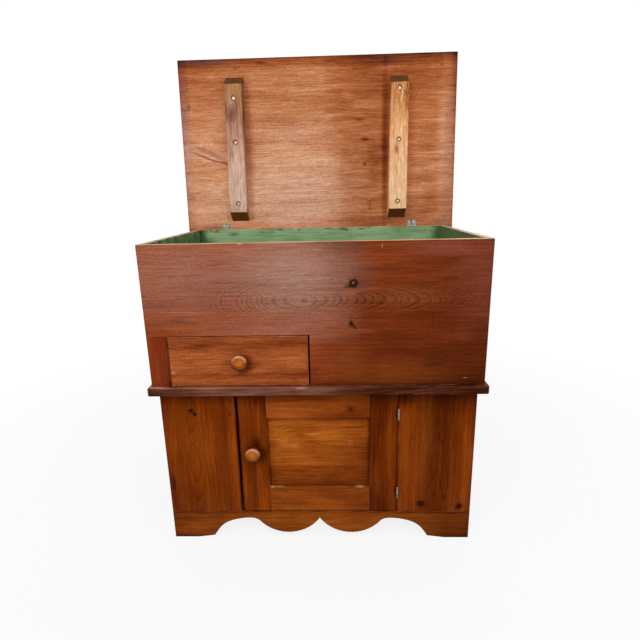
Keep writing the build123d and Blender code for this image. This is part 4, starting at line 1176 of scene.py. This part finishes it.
# Turned hardwood: golden on the face and polished by hands round its upper edge, with a paler painted
# highlight there; darker below and behind the head, as grime and painted shade.
knob = {
    **pine,
    "stretch": (30, 30),
    "spacing": 3.4,
    "ring": 0.1,
    "wave": (30, 12, 1.2),
    "streak": (40, 6, 0.06),
    "fibre": (30, 0.9, 0.06),
    "cloud": (26, 16, 0.12),
    "grain": [],
    "ramp": [(0.0, "#DC943E"), (0.3, "#BE7022"), (0.5, "#9A4E12"), (0.72, "#642C0A"), (1.0, "#260C04")],
    "edgeTone": 0.0,
    "wearAndHighlightMix": 0.0,
    "bump": 0.02,
    "fromHeart": (40, 30),         # how far above the log's heart, and in front of it, the knob was turned
    "gold": (0, 3, 27, 27, -0.42),         # right, up, radius, radius and shift, from the middle of the face
    "shadeBelow": (6, 26, 12, 0.16),      # painted shade under the head: right, radius, radius and shift, from the lowest point
    "grimeAndShade": [(0, 0.24), (6, 0.3), (9, 0.42), (15, 0.5)],      # depth from the face and shift: darker behind the face, as grime and painted shade
    "polishFrom": (0.6, 2.0),      # depth where the polish begins, and is full
    "polishTo": (7.0, 9.0),        # depth where it begins to end, and ends
    "polishUp": (-1, 11),          # the same above the middle
    "dull": (0.12, 0.5),           # specular level and roughness
    "polished": (1.0, 0.28),
    "polishTint": "#FFC8A0",
    "polishCoat": 0.5,
    "polishCoatIor": 1.7,
    "rubbedAndHighlight": ("#D2824E", 0.48),   # a paler, warmer colour on the polished band, which is a painted highlight, and its strength
}


def knobPolish(tree, parts, low, middle):
    # a band round the head's rim, in its upper half, glossier and carrying the painted highlight
    depth = add(tree, "Math", [parts["Y"], low.y], operation="SUBTRACT")
    height = add(tree, "Math", [parts["Z"], middle.z], operation="SUBTRACT")
    bands = []
    for value, key in ((depth, "polishFrom"), (depth, "polishTo"), (height, "polishUp")):
        begins, full = knob[key]
        bands.append(add(tree, "MapRange", {"Value": value, "From Min": begins, "From Max": full}))
    band = add(tree, "Math", [bands[0], bands[1]], operation="SUBTRACT")
    return add(tree, "Math", [band, bands[2]], operation="MULTIPLY")


def dressKnob(name, seed, tilt):
    low, high = nodeBox(name)
    middle = (low + high) / 2
    above, before = knob["fromHeart"]
    goldRight, goldUp, *gold = knob["gold"]
    shadeRight, *grimeAndShade = knob["shadeBelow"]
    board = {
        **knob,
        "seed": seed,
        "heart": (middle.x + tilt, middle.z - above, low.y - before),
        "throughTone": [(low.y + depth, shift) for depth, shift in knob["grimeAndShade"]],
        "spots": [(middle.x + goldRight, middle.z + goldUp, *gold), (middle.x + shadeRight, low.z, *grimeAndShade)],
    }
    made, tree = emptyMaterial("turnedMaple" + name.title().replace("_", ""))
    plan = planOf(tree, board)
    colour, tone, relief = woodOf(tree, plan, board, low, high)
    polish = knobPolish(tree, add(tree, "SeparateXYZ", [plan]).node.outputs, low, middle)
    rubbedAndHighlight, strength = knob["rubbedAndHighlight"]
    amount = add(tree, "Math", [polish, strength], operation="MULTIPLY")
    colour = add(tree, "Mix", {0: amount, 6: colour, 7: linear(rubbedAndHighlight)}, **colourMix)
    (dullLevel, dullRough), (level, rough) = knob["dull"], knob["polished"]
    bump = add(tree, "Bump", {
        "Height": relief, "Strength": knob["bumpStrength"], "Distance": knob["bump"] * mm})
    surface = add(tree, "BsdfPrincipled", {
        "Base Color": colour, "Specular Tint": linear(knob["polishTint"]),
        "Specular IOR Level": add(tree, "MapRange", {"Value": polish, "To Min": dullLevel, "To Max": level}),
        "Roughness": add(tree, "MapRange", {"Value": polish, "To Min": dullRough, "To Max": rough}),
        "Coat Weight": add(tree, "Math", [polish, knob["polishCoat"]], operation="MULTIPLY"),
        "Coat Roughness": rough, "Coat IOR": knob["polishCoatIor"], "Normal": bump})
    add(tree, "OutputMaterial", {"Surface": surface})
    dress(made, name)


dressKnob("drawer_knob", 36.0, 7)
dressKnob("door_knob", 37.0, -9)

# Old zinc-plated steel: dull grey, with brown blotches where the zinc has gone.
hinge = {
    "colours": ("#B0A89E", "#958A7E", "#5E4E40"),      # clean, dull and stained
    "blotch": 9.0,                 # size of a blotch
    "scratch": 1.6,
    "scratchShare": 0.25,          # how much of the scratches shows in the colour
    "stain": (0.45, 0.85),         # where in their noise the stains begin, and are full
    "roughness": (0.34, 0.56),     # of clean steel and of stained
    "rough": (0.4, 0.8),           # where in it the roughness begins to rise, and is full
    "bump": 0.03,
    "bumpStrength": 0.4,
}
# The same steel, its screw heads rubbed bright.
hingeScrew = {
    **hinge,
    "colours": ("#F2F0EA", "#D8D4CA", "#8C8274"),
    "blotch": 5.0,
    "scratch": 0.8,
    "roughness": (0.24, 0.4),
    "bump": 0.02,
}
# Brass screws gone dull in the air.
screwHead = {
    **hinge,
    "colours": ("#DCCCB2", "#C4B496", "#8E7C5E"),
    "blotch": 4.0,
    "scratch": 0.6,
    "roughness": (0.4, 0.6),
}


def dressMetal(materialName, kind, *names):
    made, tree = emptyMaterial(materialName)
    place = {"Vector": add(tree, "TexCoord", out="Object"), "Scale": (mm, mm, mm)}
    plan = add(tree, "Mapping", place, vector_type="TEXTURE")
    blotch = add(tree, "TexNoise", {"Vector": plan, "Scale": 1 / kind["blotch"], "Detail": 4.0})
    scratch = add(tree, "TexNoise", {"Vector": plan, "Scale": 1 / kind["scratch"], "Detail": 2.0})
    stain = add(tree, "Math", [scratch, kind["scratchShare"], blotch], operation="MULTIPLY_ADD")
    begins, full = kind["stain"]
    shade = add(tree, "MapRange", {"Value": stain, "From Min": begins, "From Max": full})
    colour = add(tree, "ValToRGB", {"Fac": shade}, stops=list(zip((0.0, 0.5, 1.0), kind["colours"])))
    begins, full = kind["rough"]
    low, high = kind["roughness"]
    rough = add(tree, "MapRange", {
        "Value": stain, "From Min": begins, "From Max": full, "To Min": low, "To Max": high})
    bump = add(tree, "Bump", {
        "Height": scratch, "Strength": kind["bumpStrength"], "Distance": kind["bump"] * mm})
    surface = add(tree, "BsdfPrincipled", {
        "Base Color": colour, "Metallic": 1.0, "Roughness": rough, "Normal": bump})
    add(tree, "OutputMaterial", {"Surface": surface})
    dress(made, *names)


hingeNodes = [name for name in nodes if "hinge" in name]
dressMetal("oldZincSteelHinge", hinge, *[name for name in hingeNodes if "screws" not in name])
dressMetal("rubbedSteelHingeScrew", hingeScrew, *[name for name in hingeNodes if "screws" in name])
dressMetal("agedBrassScrew", screwHead, "lid_batten_screws", "drawer_knob_screw")
print("knobs and ironwork dressed")
